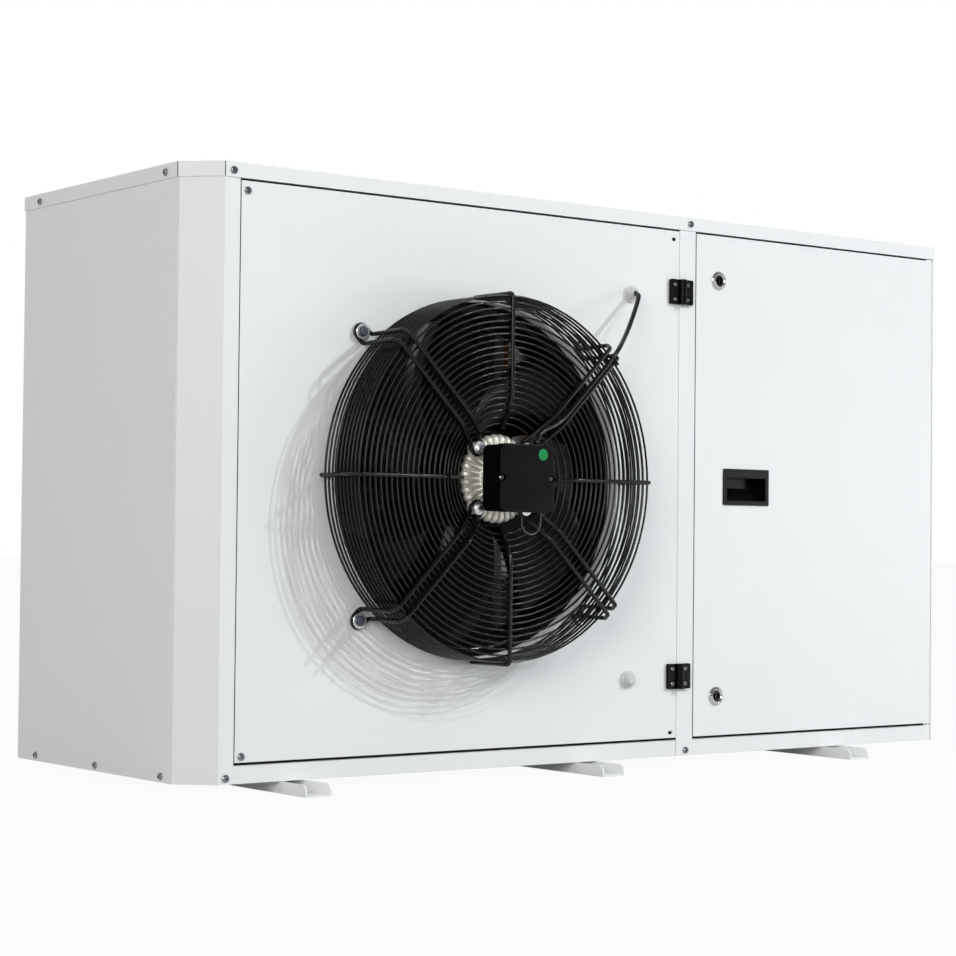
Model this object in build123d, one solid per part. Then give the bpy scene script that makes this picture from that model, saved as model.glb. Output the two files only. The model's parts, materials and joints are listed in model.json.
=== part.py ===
from build123d import *
import math
import os

# Refrigeration condensing unit: a sheet-metal cabinet on three floor rails, an axial fan on a hinged
# panel at the front left, a service door at the front right, a finned coil across the back and the
# compressor set behind the door. Millimetres, +Z up, the front faces -Y. The origin lies on the floor
# at the centre of the outer rails' four fixing holes.

# Cabinet
WIDTH = 1388.0
DEPTH = 474.0
HEIGHT = 800.0
CHAMFER = 44.0
SHEET = 1.5
LID_SKIRT = 20.0
TRAY_SKIRT = 24.0
CORNER_STRIP_END = 67.0
FAN_SIDE_SHARE = 0.5987
CENTRE_POST_START = float(round(WIDTH * FAN_SIDE_SHARE))
CENTRE_POST_WIDTH = 32.0
POST_RETURN = 24.0
POST_LIP = 14.0
REAR_FOLD = 20.0
DOOR_GAP = 1.3
DOOR_HEIGHT_GAP = 1.0
DOOR_FOOT_GAP = 2.5
DOOR_FLANGE = 18.0

# Floor rails
RAIL_HEIGHT = 16.0
RAIL_WIDTH = 40.0
RAIL_PITCH = 500.0
RAIL_INSET = 160.0
RAIL_OVERHANG = 58.0
RAIL_SHEET = 2.5
RAIL_CORNER = 10.0
RAIL_HOLE_RADIUS = 6.0
RAIL_HOLE_INSET = 29.0

# Fan
FAN_X = (CORNER_STRIP_END + CENTRE_POST_START) / 2
FAN_Z = HEIGHT / 2
THROAT_RADIUS = 229.5
THROAT_LIP = 6.0
THROAT_LAND = 2.0
RING_DEPTH = 66.0
RING_GAP = 0.5
RING_FLANGE = 26.0
BLADE_COUNT = 5
TIP_GAP = 5.0
BLADE_THICKNESS = 3.0
BLADE_FRONT = 12.0
BLADE_HALF_DEPTH = 27.0
BLADE_START = 0.2
ROTOR_RADIUS = 66.0
ROTOR_FRONT = -44.0
ROTOR_BACK = 52.0

# Guard
GUARD_RADIUS = THROAT_RADIUS + 19.0
GUARD_PITCH = 8.65
GUARD_WIRE = 2.6
GUARD_DEPTH = 81.5
GUARD_DISH_RADIUS = 112.0
GUARD_DISH_SLOPE = 0.45
GUARD_HOLE_RADIUS = 75.5
FRONT_RINGS = round((GUARD_RADIUS - GUARD_HOLE_RADIUS) / GUARD_PITCH) + 1
SKIRT_RINGS = 9
SPOKE_WIRE = 6.0
WELD = 0.5
RING_SAG = 1.2
ARM_WIRE = 6.0
ARM_HALF_GAP = 9.5
ARM_BOLT_RADIUS = THROAT_RADIUS + 43.2
ARM_FOOT_RUN = 13.5
ARM_SHOULDER_OUT = 11.5
ARM_BEND_OUT = 4.0
ARM_SHOULDER_DROP = 12.0
ARM_INNER_RUN = 6.0
ARM_INNER_DROP = 9.0
ARM_FILLET = 5.0
ARM_SIDES = 8
ARM_CLEARANCE = 1.0

# Motor and terminal box
FLANGE_RADIUS = 61.0
FLANGE_BACK = -46.0
FLANGE_DEPTH = 14.0
FLANGE_RIBS = 32
FLANGE_RIB_WIDTH = 7.4
FLANGE_BOLT_RADIUS = 58.0
TERMINAL_SIZE = 90.0
TERMINAL_CORNER = 10.0
TERMINAL_FRONT = -121.0
COVER_DEPTH = 15.0
TERMINAL_BASE_BACK = -80.0
SHAFT_RADIUS = 10.0
LEAD_EXIT_X = 33.0
LEAD_EXIT_Y = -98.0
LEAD_RADIUS = 3.3

# Hinges, locks and handle
HINGE_WIDTH = 44.0
HINGE_HEIGHT = 37.0
HINGE_X = CENTRE_POST_START + 1.0
HINGE_HEIGHTS = (118.0, HEIGHT - 113.0)
HINGE_PLATE = 5.0
HINGE_AXIS_Y = -6.3
HINGE_PIN_RADIUS = 2.5
KNUCKLE_RADIUS = 6.0
LEAF_SCREW_PITCH = 22.0
LEAF_SCREW_OFFSET = 12.5
LOCK_X = CENTRE_POST_START + 79.0
LOCK_HEIGHTS = (86.0, HEIGHT - 90.0)
LOCK_FACE_RADIUS = 14.0
LOCK_BODY_RADIUS = 10.0
LOCK_INSERT_RADIUS = 7.5
CAM_LENGTH = 40.0
CAM_WIDTH = 14.0
CAM_THICKNESS = 3.0
HANDLE_X = CENTRE_POST_START + 138.0
HANDLE_Z = HEIGHT / 2
HANDLE_WIDTH = 95.0
HANDLE_HEIGHT = 55.0
HANDLE_DEPTH = 22.0
HANDLE_WALL = 2.0
HANDLE_RIM = 5.0
PIVOT_INSET = 4.0
PIVOT_RADIUS = 2.0

# Coil
COIL_LEFT = 42.0
COIL_RIGHT = CENTRE_POST_START - 19.0
COIL_BOTTOM = 30.0
COIL_TOP = HEIGHT - 26.0
COIL_DEPTH = 66.0
COIL_TUBE_PITCH = 25.4
COIL_TUBE_RADIUS = 4.8
COIL_BENDS = 9
COIL_BEND_PITCH = (COIL_TOP - COIL_BOTTOM - 58.2) / COIL_BENDS

# Compressor set, in the cabinet's own left-front-bottom measure
COMPRESSOR_SHARE = 0.337
COMPRESSOR_X = CENTRE_POST_START + CENTRE_POST_WIDTH + round(
    COMPRESSOR_SHARE * (WIDTH - CENTRE_POST_START - CENTRE_POST_WIDTH)
)
COMPRESSOR_Y = 250.0
COMPRESSOR_RADIUS = 86.0
COMPRESSOR_HEIGHT = 330.0
COMPRESSOR_PLATE = 180.0
RUBBER_FOOT_HEIGHT = 22.0
RECEIVER_X = WIDTH - 108.0
RECEIVER_Y = 330.0
RECEIVER_RADIUS = 62.0
RECEIVER_HEIGHT = 290.0
SUCTION_RADIUS = 11.0
LIQUID_RADIUS = 6.0
DISCHARGE_RADIUS = 8.0
STUB_LENGTH = 40.0
SUCTION_Y = 170.0
SUCTION_Z = 250.0
LIQUID_Y = 170.0
LIQUID_Z = 150.0
GLAND_BORE_RADIUS = 6.5
GLAND_Y = 170.0
GLAND_Z = HEIGHT - 95.0
DISCHARGE_Z = HEIGHT - 100.0
PRESSURE_SWITCH_Z = HEIGHT - 240.0
DRIER_X = WIDTH - 208.0
VALVE_INSET = 62.0

CONTROL_WIDTH = 190.0
CONTROL_HEIGHT = 230.0
CONTROL_DEPTH = 100.0
CONTROL_FRONT = 90.0
CONTROL_BOTTOM = HEIGHT - 280.0

# Small things on the panels
LOUVRE_ROWS = 6
LOUVRE_PITCH = 24.0
LOUVRE_BOTTOM = HEIGHT - 240.0
LOUVRE_LENGTH = 180.0
LOUVRE_SLOT = 8.0
GLAND_THREAD = 10.0
PANEL_SCREW_X = 78.2
PANEL_SCREW_HEIGHTS = (35.0, HEIGHT - 35.0)
PANEL_SCREW_RADIUS = 2.5
SPARE_HOLE_X = CENTRE_POST_START - 10.2
GROMMET_NECK = 9.0
GROMMET_CORNER = THROAT_RADIUS * math.sqrt(0.5)
GROMMETS = (
    (FAN_X + GROMMET_CORNER + 123.72, FAN_Z + GROMMET_CORNER + 115.72),
    (FAN_X + GROMMET_CORNER + 122.72, FAN_Z - GROMMET_CORNER - 121.72),
)

# The cabinet's faces in the part's own frame
LEFT = -(RAIL_PITCH + RAIL_INSET)
RIGHT = LEFT + WIDTH
FRONT = -DEPTH / 2
BACK = DEPTH / 2
BASE = RAIL_HEIGHT
TOP = BASE + HEIGHT
FAN = Vector(LEFT + FAN_X, FRONT, BASE + FAN_Z)
DOOR_BOTTOM = BASE + TRAY_SKIRT + DOOR_FOOT_GAP
DOOR_TOP = TOP - LID_SKIRT - DOOR_HEIGHT_GAP
STOP_Y = FRONT + POST_RETURN


def block(x, y, z):
    """A box between two limits along each axis."""
    return Pos((x[0] + x[1]) / 2, (y[0] + y[1]) / 2, (z[0] + z[1]) / 2) * Box(
        x[1] - x[0], y[1] - y[0], z[1] - z[0]
    )


def rod(start, end, radius):
    """A round bar from one point to another."""
    start, end = Vector(*start), Vector(*end)
    run = end - start
    return Plane(start, z_dir=run) * Cylinder(
        radius, run.length, align=(Align.CENTER, Align.CENTER, Align.MIN)
    )


def pipe(points, radius, bend, inner=0.0):
    """A bent pipe through the points, with one bend radius."""
    path = FilletPolyline(*points, radius=bend)
    start = Plane(path @ 0, z_dir=path % 0)
    outside = sweep(start * Circle(radius), path)
    return outside - sweep(start * Circle(inner), path) if inner else outside


def outline(grow):
    """The cabinet's plan with its cut front-left corner, moved out by a distance."""
    cut = CHAMFER + grow * (2 - math.sqrt(2))
    x0, x1, y0, y1 = LEFT - grow, RIGHT + grow, FRONT - grow, BACK + grow
    return make_face(Polyline((x0, y1), (x0, y0 + cut), (x0 + cut, y0), (x1, y0), (x1, y1), close=True))


def folded(points, z0, z1, thickness=SHEET):
    """A folded sheet standing upright: its outer line in plan, thickened to the left of its run."""
    runs = [(Vector(*b) - Vector(*a)).normalized() for a, b in zip(points, points[1:])]
    sides = [Vector(-r.Y, r.X) for r in runs]
    inner = []
    for i, point in enumerate(points):
        before, after = sides[max(i - 1, 0)], sides[min(i, len(sides) - 1)]
        mitre = (before + after) * (thickness / (1 + before.dot(after)))
        inner.append((point[0] + mitre.X, point[1] + mitre.Y))
    face = make_face(Polyline(*points, *reversed(inner), close=True))
    return extrude(Pos(0, 0, z0) * face, z1 - z0, dir=(0, 0, 1))


def group(solids):
    """Several equal pieces kept as separate solids."""
    return Compound(children=[s for s in solids])


# Floor rails and base
def floor_rail(x):
    """A shallow channel lying on its web, with rounded flange ends and a fixing hole at each end."""
    y0, y1 = FRONT - RAIL_OVERHANG, BACK + RAIL_OVERHANG
    rail = block((x - RAIL_WIDTH / 2, x + RAIL_WIDTH / 2), (y0, y1), (0, RAIL_HEIGHT))
    ends = rail.edges().filter_by(Axis.X).group_by(Axis.Z)[-1]
    rail = fillet(ends, RAIL_CORNER)
    hollow = RAIL_WIDTH / 2 - RAIL_SHEET
    rail -= block((x - hollow, x + hollow), (y0 - 1, y1 + 1), (RAIL_SHEET, RAIL_HEIGHT + 1))
    for y in (y0 + RAIL_HOLE_INSET, y1 - RAIL_HOLE_INSET):
        rail -= rod((x, y, -1), (x, y, RAIL_SHEET + 1), RAIL_HOLE_RADIUS)
    return rail


def base_tray():
    """The drip tray: floor and upturned skirt, one sheet inside the panels."""
    outer = extrude(Pos(0, 0, BASE) * outline(-SHEET), TRAY_SKIRT, dir=(0, 0, 1))
    inner = extrude(Pos(0, 0, BASE + SHEET) * outline(-2 * SHEET), TRAY_SKIRT, dir=(0, 0, 1))
    tray = outer - inner
    drains = [(LEFT + 250, BACK - 60), (LEFT + 650, BACK - 60), (RIGHT - 120, BACK - 60)]
    for x, y in drains:
        tray -= rod((x, y, BASE - 1), (x, y, BASE + SHEET + 1), 10)
    return tray


def lid():
    """The top: a sheet with a turned-down skirt that stands one sheet proud of the panels."""
    outer = extrude(Pos(0, 0, TOP - LID_SKIRT) * outline(SHEET), LID_SKIRT, dir=(0, 0, 1))
    inner = extrude(Pos(0, 0, TOP - LID_SKIRT) * outline(0), LID_SKIRT - SHEET, dir=(0, 0, 1))
    return outer - inner


# Posts and panels
def left_panel():
    """The plain left side, folded in at the back."""
    line = [(LEFT + REAR_FOLD, BACK), (LEFT, BACK), (LEFT, FRONT + CHAMFER)]
    return folded(line, BASE, TOP - SHEET)


def corner_post():
    """The cut corner and the narrow front strip beside the fan panel, with a stop lip behind it."""
    side, edge = LEFT + SHEET, LEFT + CORNER_STRIP_END
    face = [(side, FRONT + CHAMFER - SHEET), (LEFT + CHAMFER, FRONT), (edge, FRONT)]
    post = folded(face, BASE, TOP - SHEET)
    back = [(side, FRONT + CHAMFER + POST_LIP), (side, FRONT + CHAMFER - SHEET)]
    stop = [(edge, FRONT), (edge, STOP_Y), (edge + POST_LIP, STOP_Y)]
    above = BASE + TRAY_SKIRT + DOOR_HEIGHT_GAP
    post += folded(back + face[1:2], above, TOP - SHEET)
    post += folded(face[1:2] + stop, above, TOP - SHEET)
    for z in PANEL_SCREW_HEIGHTS:
        hole = (LEFT + PANEL_SCREW_X, STOP_Y, BASE + z)
        post -= Pos(*hole) * Rot(90, 0, 0) * Cylinder(PANEL_SCREW_RADIUS + 2.2, 20)
    return post


def centre_post():
    """A hat-section post between the fan panel and the service door."""
    x0, x1 = LEFT + CENTRE_POST_START, LEFT + CENTRE_POST_START + CENTRE_POST_WIDTH
    strip = block((x0, x1), (FRONT, FRONT + SHEET), (BASE, TOP - SHEET))
    hat = [(x0 - POST_LIP, STOP_Y), (x0, STOP_Y), (x0, FRONT), (x1, FRONT), (x1, STOP_Y), (x1 + POST_LIP, STOP_Y)]
    above = BASE + TRAY_SKIRT + DOOR_HEIGHT_GAP
    return strip + folded(hat, above, TOP - SHEET)


def partition():
    """The wall between the fan side and the compressor side, behind the centre post."""
    x = LEFT + CENTRE_POST_START + CENTRE_POST_WIDTH / 2
    y0, y1 = FRONT + 2 * SHEET, BACK - 2 * SHEET
    wall = block((x, x + SHEET), (FRONT + POST_RETURN + 2 * SHEET, y1), (BASE + SHEET, TOP - SHEET))
    foot = block((x, x + 20), (y0 + POST_RETURN, y1), (BASE + SHEET, BASE + 2 * SHEET))
    head = block((x, x + 20), (y0 + POST_RETURN, y1), (TOP - 2 * SHEET, TOP - SHEET))
    wall = wall + foot + head
    for y, z, r in discharge_crossing() + liquid_crossing():
        wall -= rod((x - 5, y, z), (x + 10, y, z), r + 4)
    return wall


def right_panel():
    """The right side, folded behind the door's edge and at the back."""
    x = RIGHT
    above = BASE + TRAY_SKIRT + DOOR_HEIGHT_GAP
    panel = folded([(x, FRONT), (x, BACK), (x - REAR_FOLD, BACK)], BASE, TOP - SHEET)
    panel += block((x - POST_RETURN, x), (STOP_Y, STOP_Y + SHEET), (above, TOP - SHEET))
    for y, z, r in ((SUCTION_Y, SUCTION_Z, SUCTION_RADIUS), (LIQUID_Y, LIQUID_Z, LIQUID_RADIUS)):
        panel -= rod((x - 5, FRONT + y, BASE + z), (x + 5, FRONT + y, BASE + z), r + 3)
    panel -= rod((x - 5, FRONT + GLAND_Y, BASE + GLAND_Z), (x + 5, FRONT + GLAND_Y, BASE + GLAND_Z), GLAND_THREAD)
    return panel


def rear_panel():
    """The back of the compressor side, with rows of pressed louvres."""
    x0, x1 = LEFT + CENTRE_POST_START - 12, RIGHT - 20.5
    panel = block((x0, x1), (BACK - SHEET, BACK), (BASE, TOP - SHEET))
    for row in range(LOUVRE_ROWS):
        z = BASE + LOUVRE_BOTTOM + row * LOUVRE_PITCH
        for column in (-1, 1):
            x = (x0 + x1) / 2 + column * (LOUVRE_LENGTH / 2 + 20)
            panel -= block((x - LOUVRE_LENGTH / 2, x + LOUVRE_LENGTH / 2), (BACK - 5, BACK + 1), (z, z + LOUVRE_SLOT))
            hood = Plane.YZ * make_face(
                Polyline((BACK - SHEET, z + LOUVRE_SLOT), (BACK, z + LOUVRE_SLOT + 2), (BACK + 5, z + LOUVRE_SLOT - 4), (BACK + 4, z + LOUVRE_SLOT - 5), close=True)
            )
            panel += Pos(x - LOUVRE_LENGTH / 2, 0, 0) * extrude(hood, LOUVRE_LENGTH, dir=(1, 0, 0))
    return panel


# Screws that hold the panels
def button_screw(head_radius, head_height, shank_radius, shank_length):
    """A round-headed socket screw along +Z, its head on top of the origin's plane."""
    head = Cylinder(head_radius, head_height, align=(Align.CENTER, Align.CENTER, Align.MIN))
    head = chamfer(head.edges().group_by(Axis.Z)[-1], head_height * 0.45)
    head += Cylinder(shank_radius, shank_length, align=(Align.CENTER, Align.CENTER, Align.MAX))
    return head - Pos(0, 0, head_height) * extrude(RegularPolygon(head_radius * 0.42, 6), -head_height * 0.6)


def facing(point, away):
    """A placement at a point whose +Z looks along a direction."""
    return Plane(point, z_dir=away).location


def cabinet_screws():
    """The zinc screws that hold lid, side and posts."""
    screw = button_screw(5.0, 2.8, 2.0, 3.2)
    lid_z = BASE + HEIGHT - 11.0
    high = (73.5, DEPTH - 47.0)
    low = (68.8, DEPTH / 2 + 7.6, DEPTH - 55.5)
    front = [(56.0, HEIGHT - 11.0), (CENTRE_POST_START + 20.0, HEIGHT - 10.0)]
    places = [((LEFT + x, FRONT - SHEET, BASE + z), (0, -1, 0)) for x, z in front]
    places += [((LEFT + x, FRONT, BASE + 8.0), (0, -1, 0)) for x in (55.3, CENTRE_POST_START + 18.6)]
    places += [((LEFT - SHEET, FRONT + y, lid_z), (-1, 0, 0)) for y in high]
    places += [((LEFT, FRONT + y, BASE + 8.0), (-1, 0, 0)) for y in low]
    places += [((RIGHT + SHEET, FRONT + y, lid_z), (1, 0, 0)) for y in high]
    places += [((RIGHT, FRONT + y, BASE + 8.0), (1, 0, 0)) for y in low]
    rear = (CENTRE_POST_START + 69.0, WIDTH - 68.0)
    places += [((LEFT + x, BACK + SHEET, lid_z), (0, 1, 0)) for x in (60.0, FAN_X) + rear]
    places += [((LEFT + x, BACK, BASE + 8.0), (0, 1, 0)) for x in (10.0,) + rear]
    return group([facing(p, d) * screw for p, d in places])


# Fan panel
def shallow_pan(x0, x1):
    """A door skin with its four edges turned back."""
    skin = block((x0, x1), (FRONT, FRONT + DOOR_FLANGE), (DOOR_BOTTOM, DOOR_TOP))
    inside = block(
        (x0 + SHEET, x1 - SHEET), (FRONT + SHEET, FRONT + DOOR_FLANGE + 1), (DOOR_BOTTOM + SHEET, DOOR_TOP - SHEET)
    )
    return skin - inside


def about_fan(face):
    """A radius-depth outline turned once about the fan's axis; depth runs back from the front."""
    return Pos(FAN.X, FAN.Y, FAN.Z) * revolve(face, Axis.Y, 360)


def fan_panel():
    """The hinged front panel, drawn in round the fan's throat."""
    x0, x1 = LEFT + CORNER_STRIP_END + DOOR_GAP, LEFT + CENTRE_POST_START - DOOR_GAP
    panel = shallow_pan(x0, x1)
    wide = THROAT_RADIUS + THROAT_LIP
    panel -= rod((FAN.X, FRONT - 1, FAN.Z), (FAN.X, FRONT + 5, FAN.Z), wide)
    depth = THROAT_LIP + THROAT_LAND
    inner = Line((wide + 1, 0), (wide, 0)) + RadiusArc((wide, 0), (THROAT_RADIUS, THROAT_LIP), THROAT_LIP)
    inner += Line((THROAT_RADIUS, THROAT_LIP), (THROAT_RADIUS, depth))
    outer = Line((THROAT_RADIUS, depth), (THROAT_RADIUS + SHEET, depth))
    outer += Line((THROAT_RADIUS + SHEET, depth), (THROAT_RADIUS + SHEET, THROAT_LIP))
    outer += RadiusArc((THROAT_RADIUS + SHEET, THROAT_LIP), (wide, SHEET), -(THROAT_LIP - SHEET))
    outer += Line((wide, SHEET), (wide + 1, SHEET)) + Line((wide + 1, SHEET), (wide + 1, 0))
    panel += about_fan(make_face(inner + outer))
    for x, z in GROMMETS:
        panel -= rod((LEFT + x, FRONT - 1, BASE + z), (LEFT + x, FRONT + 5, BASE + z), GROMMET_NECK + 0.2)
    for z in PANEL_SCREW_HEIGHTS:
        screw = (LEFT + PANEL_SCREW_X, FRONT, BASE + z)
        panel -= facing(screw, (0, -1, 0)) * Cylinder(PANEL_SCREW_RADIUS + 0.3, 10)
        spare = (LEFT + SPARE_HOLE_X, FRONT, BASE + z)
        panel -= facing(spare, (0, -1, 0)) * Cylinder(PANEL_SCREW_RADIUS, 10)
    return panel


def fan_ring():
    """The collar behind the panel that the blades turn in."""
    inside = THROAT_RADIUS + SHEET + RING_GAP
    outside = inside + SHEET
    rim = outside + RING_FLANGE
    profile = Polyline(
        (rim, SHEET), (rim, 2 * SHEET), (outside + 6, 2 * SHEET), (outside, 2 * SHEET + 6), (outside, RING_DEPTH),
        (outside + 5, RING_DEPTH + 2), (outside + 5, RING_DEPTH + 2 + SHEET), (inside, RING_DEPTH + SHEET),
        (inside, 2 * SHEET + 5), (outside + 5, SHEET), close=True,
    )
    return about_fan(make_face(profile))


def polygon_ring(radius, y, sides):
    """One guard wire: a many-sided ring of square wire, its middle at a depth."""
    scale = 1 / math.cos(math.pi / sides) ** 0.5
    outer = RegularPolygon((radius + GUARD_WIRE / 2) * scale, sides)
    inner = RegularPolygon((radius - GUARD_WIRE / 2) * scale, sides)
    wire = extrude(outer - inner, GUARD_WIRE)
    return Pos(FAN.X, FRONT + y + GUARD_WIRE / 2, FAN.Z) * Rot(90, 0, 0) * wire


def ring_sides(radius):
    """Enough sides, in fours, to keep a ring within the allowed sag."""
    return 4 * math.ceil(math.pi / math.acos(1 - RING_SAG / radius) / 4)


def front_depth(radius):
    """Where the guard's front wires lie: flat, and dished back near the motor."""
    return -GUARD_DEPTH + max(0.0, GUARD_DISH_RADIUS - radius) * GUARD_DISH_SLOPE


def spoke_line(offset):
    """The middle of a spoke from the motor out to the guard's edge, at a distance before the rings."""
    inner = GUARD_INNER_RADIUS - GUARD_WIRE
    edge = GUARD_RADIUS + SPOKE_OUT + SPOKE_WIRE / 2
    return [(inner, front_depth(inner) - offset), (GUARD_DISH_RADIUS, -GUARD_DEPTH - offset), (edge, -GUARD_DEPTH - offset)]


SPOKE_OUT = (GUARD_WIRE + SPOKE_WIRE) / 2 - WELD
GUARD_INNER_RADIUS = GUARD_RADIUS - (FRONT_RINGS - 1) * GUARD_PITCH


def spokes(face, count=4):
    """A radius-depth outline made one wire thick and set round the fan's axis."""
    bar = extrude(Plane.XY * face, SPOKE_WIRE / 2, dir=(0, 0, 1), both=True)
    return [Pos(FAN.X, FAN.Y, FAN.Z) * Rot(0, 360 * i / count, 0) * bar for i in range(count)]


def guard_front():
    """The round wires and the four spokes over the fan's mouth."""
    near = (GUARD_WIRE + SPOKE_WIRE) / 2 - WELD - SPOKE_WIRE / 2
    back, front = spoke_line(near), spoke_line(near + SPOKE_WIRE)
    guard = spokes(make_face(Polyline(*back, *reversed(front), close=True)))
    for i in range(FRONT_RINGS):
        radius = GUARD_RADIUS - i * GUARD_PITCH
        guard.append(polygon_ring(radius, front_depth(radius), ring_sides(radius)))
    return guard[0].fuse(*guard[1:])


def guard_skirt():
    """The round wires between the guard's front and the panel, on four legs."""
    x0 = GUARD_RADIUS + SPOKE_OUT - SPOKE_WIRE / 2
    near = -GUARD_DEPTH - (GUARD_WIRE + SPOKE_WIRE) / 2 + WELD + SPOKE_WIRE / 2
    leg = make_face(Polyline((x0, near), (x0 + SPOKE_WIRE, near), (x0 + SPOKE_WIRE, 0), (x0, 0), close=True))
    skirt = spokes(leg)
    for i in range(SKIRT_RINGS):
        skirt.append(polygon_ring(GUARD_RADIUS, -GUARD_DEPTH + (i + 1) * GUARD_PITCH, ring_sides(GUARD_RADIUS)))
    return skirt[0].fuse(*skirt[1:])


def arm_route():
    """A double-wire arm: round the panel bolt, up over the guard's edge, in, and round the motor bolt."""
    lift = (GUARD_WIRE + ARM_WIRE) / 2 + ARM_CLEARANCE
    edge = GUARD_RADIUS + GUARD_WIRE / 2
    front = -GUARD_DEPTH - lift
    foot = -ARM_WIRE / 2 - 0.05
    motor = FLANGE_BACK - FLANGE_DEPTH - ARM_WIRE / 2 - 0.05
    inner = FLANGE_BOLT_RADIUS + ARM_INNER_RUN
    return [
        (ARM_BOLT_RADIUS, foot), (ARM_BOLT_RADIUS - ARM_FOOT_RUN, foot),
        (edge + ARM_SHOULDER_OUT, front + ARM_SHOULDER_DROP), (edge + ARM_BEND_OUT, front),
        (GUARD_DISH_RADIUS, front), (inner + ARM_INNER_DROP, front_depth(GUARD_INNER_RADIUS) - lift),
        (inner, motor), (FLANGE_BOLT_RADIUS, motor),
    ]


def guard_arm(angle):
    """One arm as two bent wires joined by a half turn at each end."""
    side = arm_route()
    wires = []
    for gap in (-ARM_HALF_GAP, ARM_HALF_GAP):
        path = FilletPolyline(*[(r, y, gap) for r, y in side], radius=ARM_FILLET)
        section = Plane(path @ 0, z_dir=path % 0) * RegularPolygon(ARM_WIRE / 2, ARM_SIDES)
        wires.append(sweep(section, path))
    for (r, y), turn in ((side[0], -90), (side[-1], 90)):
        ring = revolve(Pos(ARM_HALF_GAP, 0) * RegularPolygon(ARM_WIRE / 2, ARM_SIDES), Axis.Y, 180)
        wires.append(Pos(r, y, 0) * Rot(0, turn, 0) * ring)
    arm = wires[0].fuse(*wires[1:])
    return Pos(FAN.X, FAN.Y, FAN.Z) * Rot(0, angle, 0) * arm


def guard_arms():
    """The four arms that carry the motor and the guard."""
    return group([guard_arm(45 + 90 * i) for i in range(4)])


def around_fan(piece, radius, y):
    """Four copies of a piece that stands along +Z, set at 45 degrees round the fan, facing forward."""
    copies = []
    for i in range(4):
        angle = math.radians(45 + 90 * i)
        point = (FAN.X + radius * math.cos(angle), FRONT + y, FAN.Z + radius * math.sin(angle))
        copies.append(facing(point, (0, -1, 0)) * piece)
    return group(copies)


def guard_bolts():
    """The panel bolts with their wide washers."""
    bolt = button_screw(7.0, 5.0, 4.0, ARM_WIRE + 8)
    washer = Cylinder(10.5, 1.6, align=(Align.CENTER, Align.CENTER, Align.MAX))
    return around_fan(Pos(0, 0, 1.6) * (bolt + washer), ARM_BOLT_RADIUS, -ARM_WIRE - 0.1)


def motor_bolts():
    """The bolts that clamp the arms to the motor."""
    bolt = button_screw(6.5, 5.0, 2.5, ARM_WIRE + 6)
    washer = Cylinder(9.0, 1.4, align=(Align.CENTER, Align.CENTER, Align.MAX))
    return around_fan(Pos(0, 0, 1.4) * (bolt + washer), FLANGE_BOLT_RADIUS, FLANGE_BACK - FLANGE_DEPTH - ARM_WIRE - 0.1)


# Motor
def motor_flange():
    """The stator's cast flange: a ring of cooling ribs, four bolt lugs and the neck for the terminal box."""
    back, front = FLANGE_BACK, FLANGE_BACK - FLANGE_DEPTH
    hub = FLANGE_RADIUS - 20
    profile = Polyline(
        (SHAFT_RADIUS, back), (FLANGE_RADIUS - 4, back), (FLANGE_RADIUS - 4, back - 4), (hub, front),
        (hub - 8, front), (hub - 8, TERMINAL_BASE_BACK), (SHAFT_RADIUS, TERMINAL_BASE_BACK), close=True,
    )
    flange = about_fan(make_face(profile))
    rib_face = make_face(
        Polyline((hub - 1, back - 3), (FLANGE_RADIUS, back - 3), (FLANGE_RADIUS, back - 7), (FLANGE_RADIUS - 5, front), (hub - 1, front), close=True)
    )
    rib = extrude(rib_face, FLANGE_RIB_WIDTH / 2, dir=(0, 0, 1), both=True)
    ribs = [Pos(FAN.X, FAN.Y, FAN.Z) * Rot(0, 360 * (i + 0.5) / FLANGE_RIBS, 0) * rib for i in range(FLANGE_RIBS)]
    flange = flange.fuse(*ribs)
    lug = Cylinder(8.0, FLANGE_DEPTH - 1, align=(Align.CENTER, Align.CENTER, Align.MAX))
    hole = Cylinder(2.7, 14, align=(Align.CENTER, Align.CENTER, Align.MAX))
    flange = flange.fuse(*around_fan(lug, FLANGE_BOLT_RADIUS, front).children)
    return flange.cut(*around_fan(hole, FLANGE_BOLT_RADIUS, front).children)


def motor_shaft():
    """The fixed axle through the rotor's bearings."""
    return rod((FAN.X, FRONT + TERMINAL_BASE_BACK + 4, FAN.Z), (FAN.X, FRONT + ROTOR_BACK - 6, FAN.Z), SHAFT_RADIUS - 0.05)


def rounded_box(size, corner, y0, y1):
    """A square box with rounded corners, centred on the fan's axis, between two depths."""
    face = RectangleRounded(size, size, corner)
    return Pos(FAN.X, FRONT + y1, FAN.Z) * Rot(90, 0, 0) * extrude(face, y1 - y0)


def terminal_box():
    """The lower half of the motor's terminal box."""
    front = TERMINAL_FRONT + COVER_DEPTH
    box = rounded_box(TERMINAL_SIZE, TERMINAL_CORNER, front, TERMINAL_BASE_BACK)
    box -= rounded_box(TERMINAL_SIZE - 5, TERMINAL_CORNER - 2.5, front - 1, TERMINAL_BASE_BACK - 3)
    exit_point = (FAN.X + LEAD_EXIT_X, FRONT + LEAD_EXIT_Y, FAN.Z + TERMINAL_SIZE / 2)
    nut = Pos(*exit_point) * extrude(RegularPolygon(6.5, 6), 4)
    box += nut
    box -= Pos(*exit_point) * Cylinder(LEAD_RADIUS + 0.6, 40)
    return box


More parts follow.
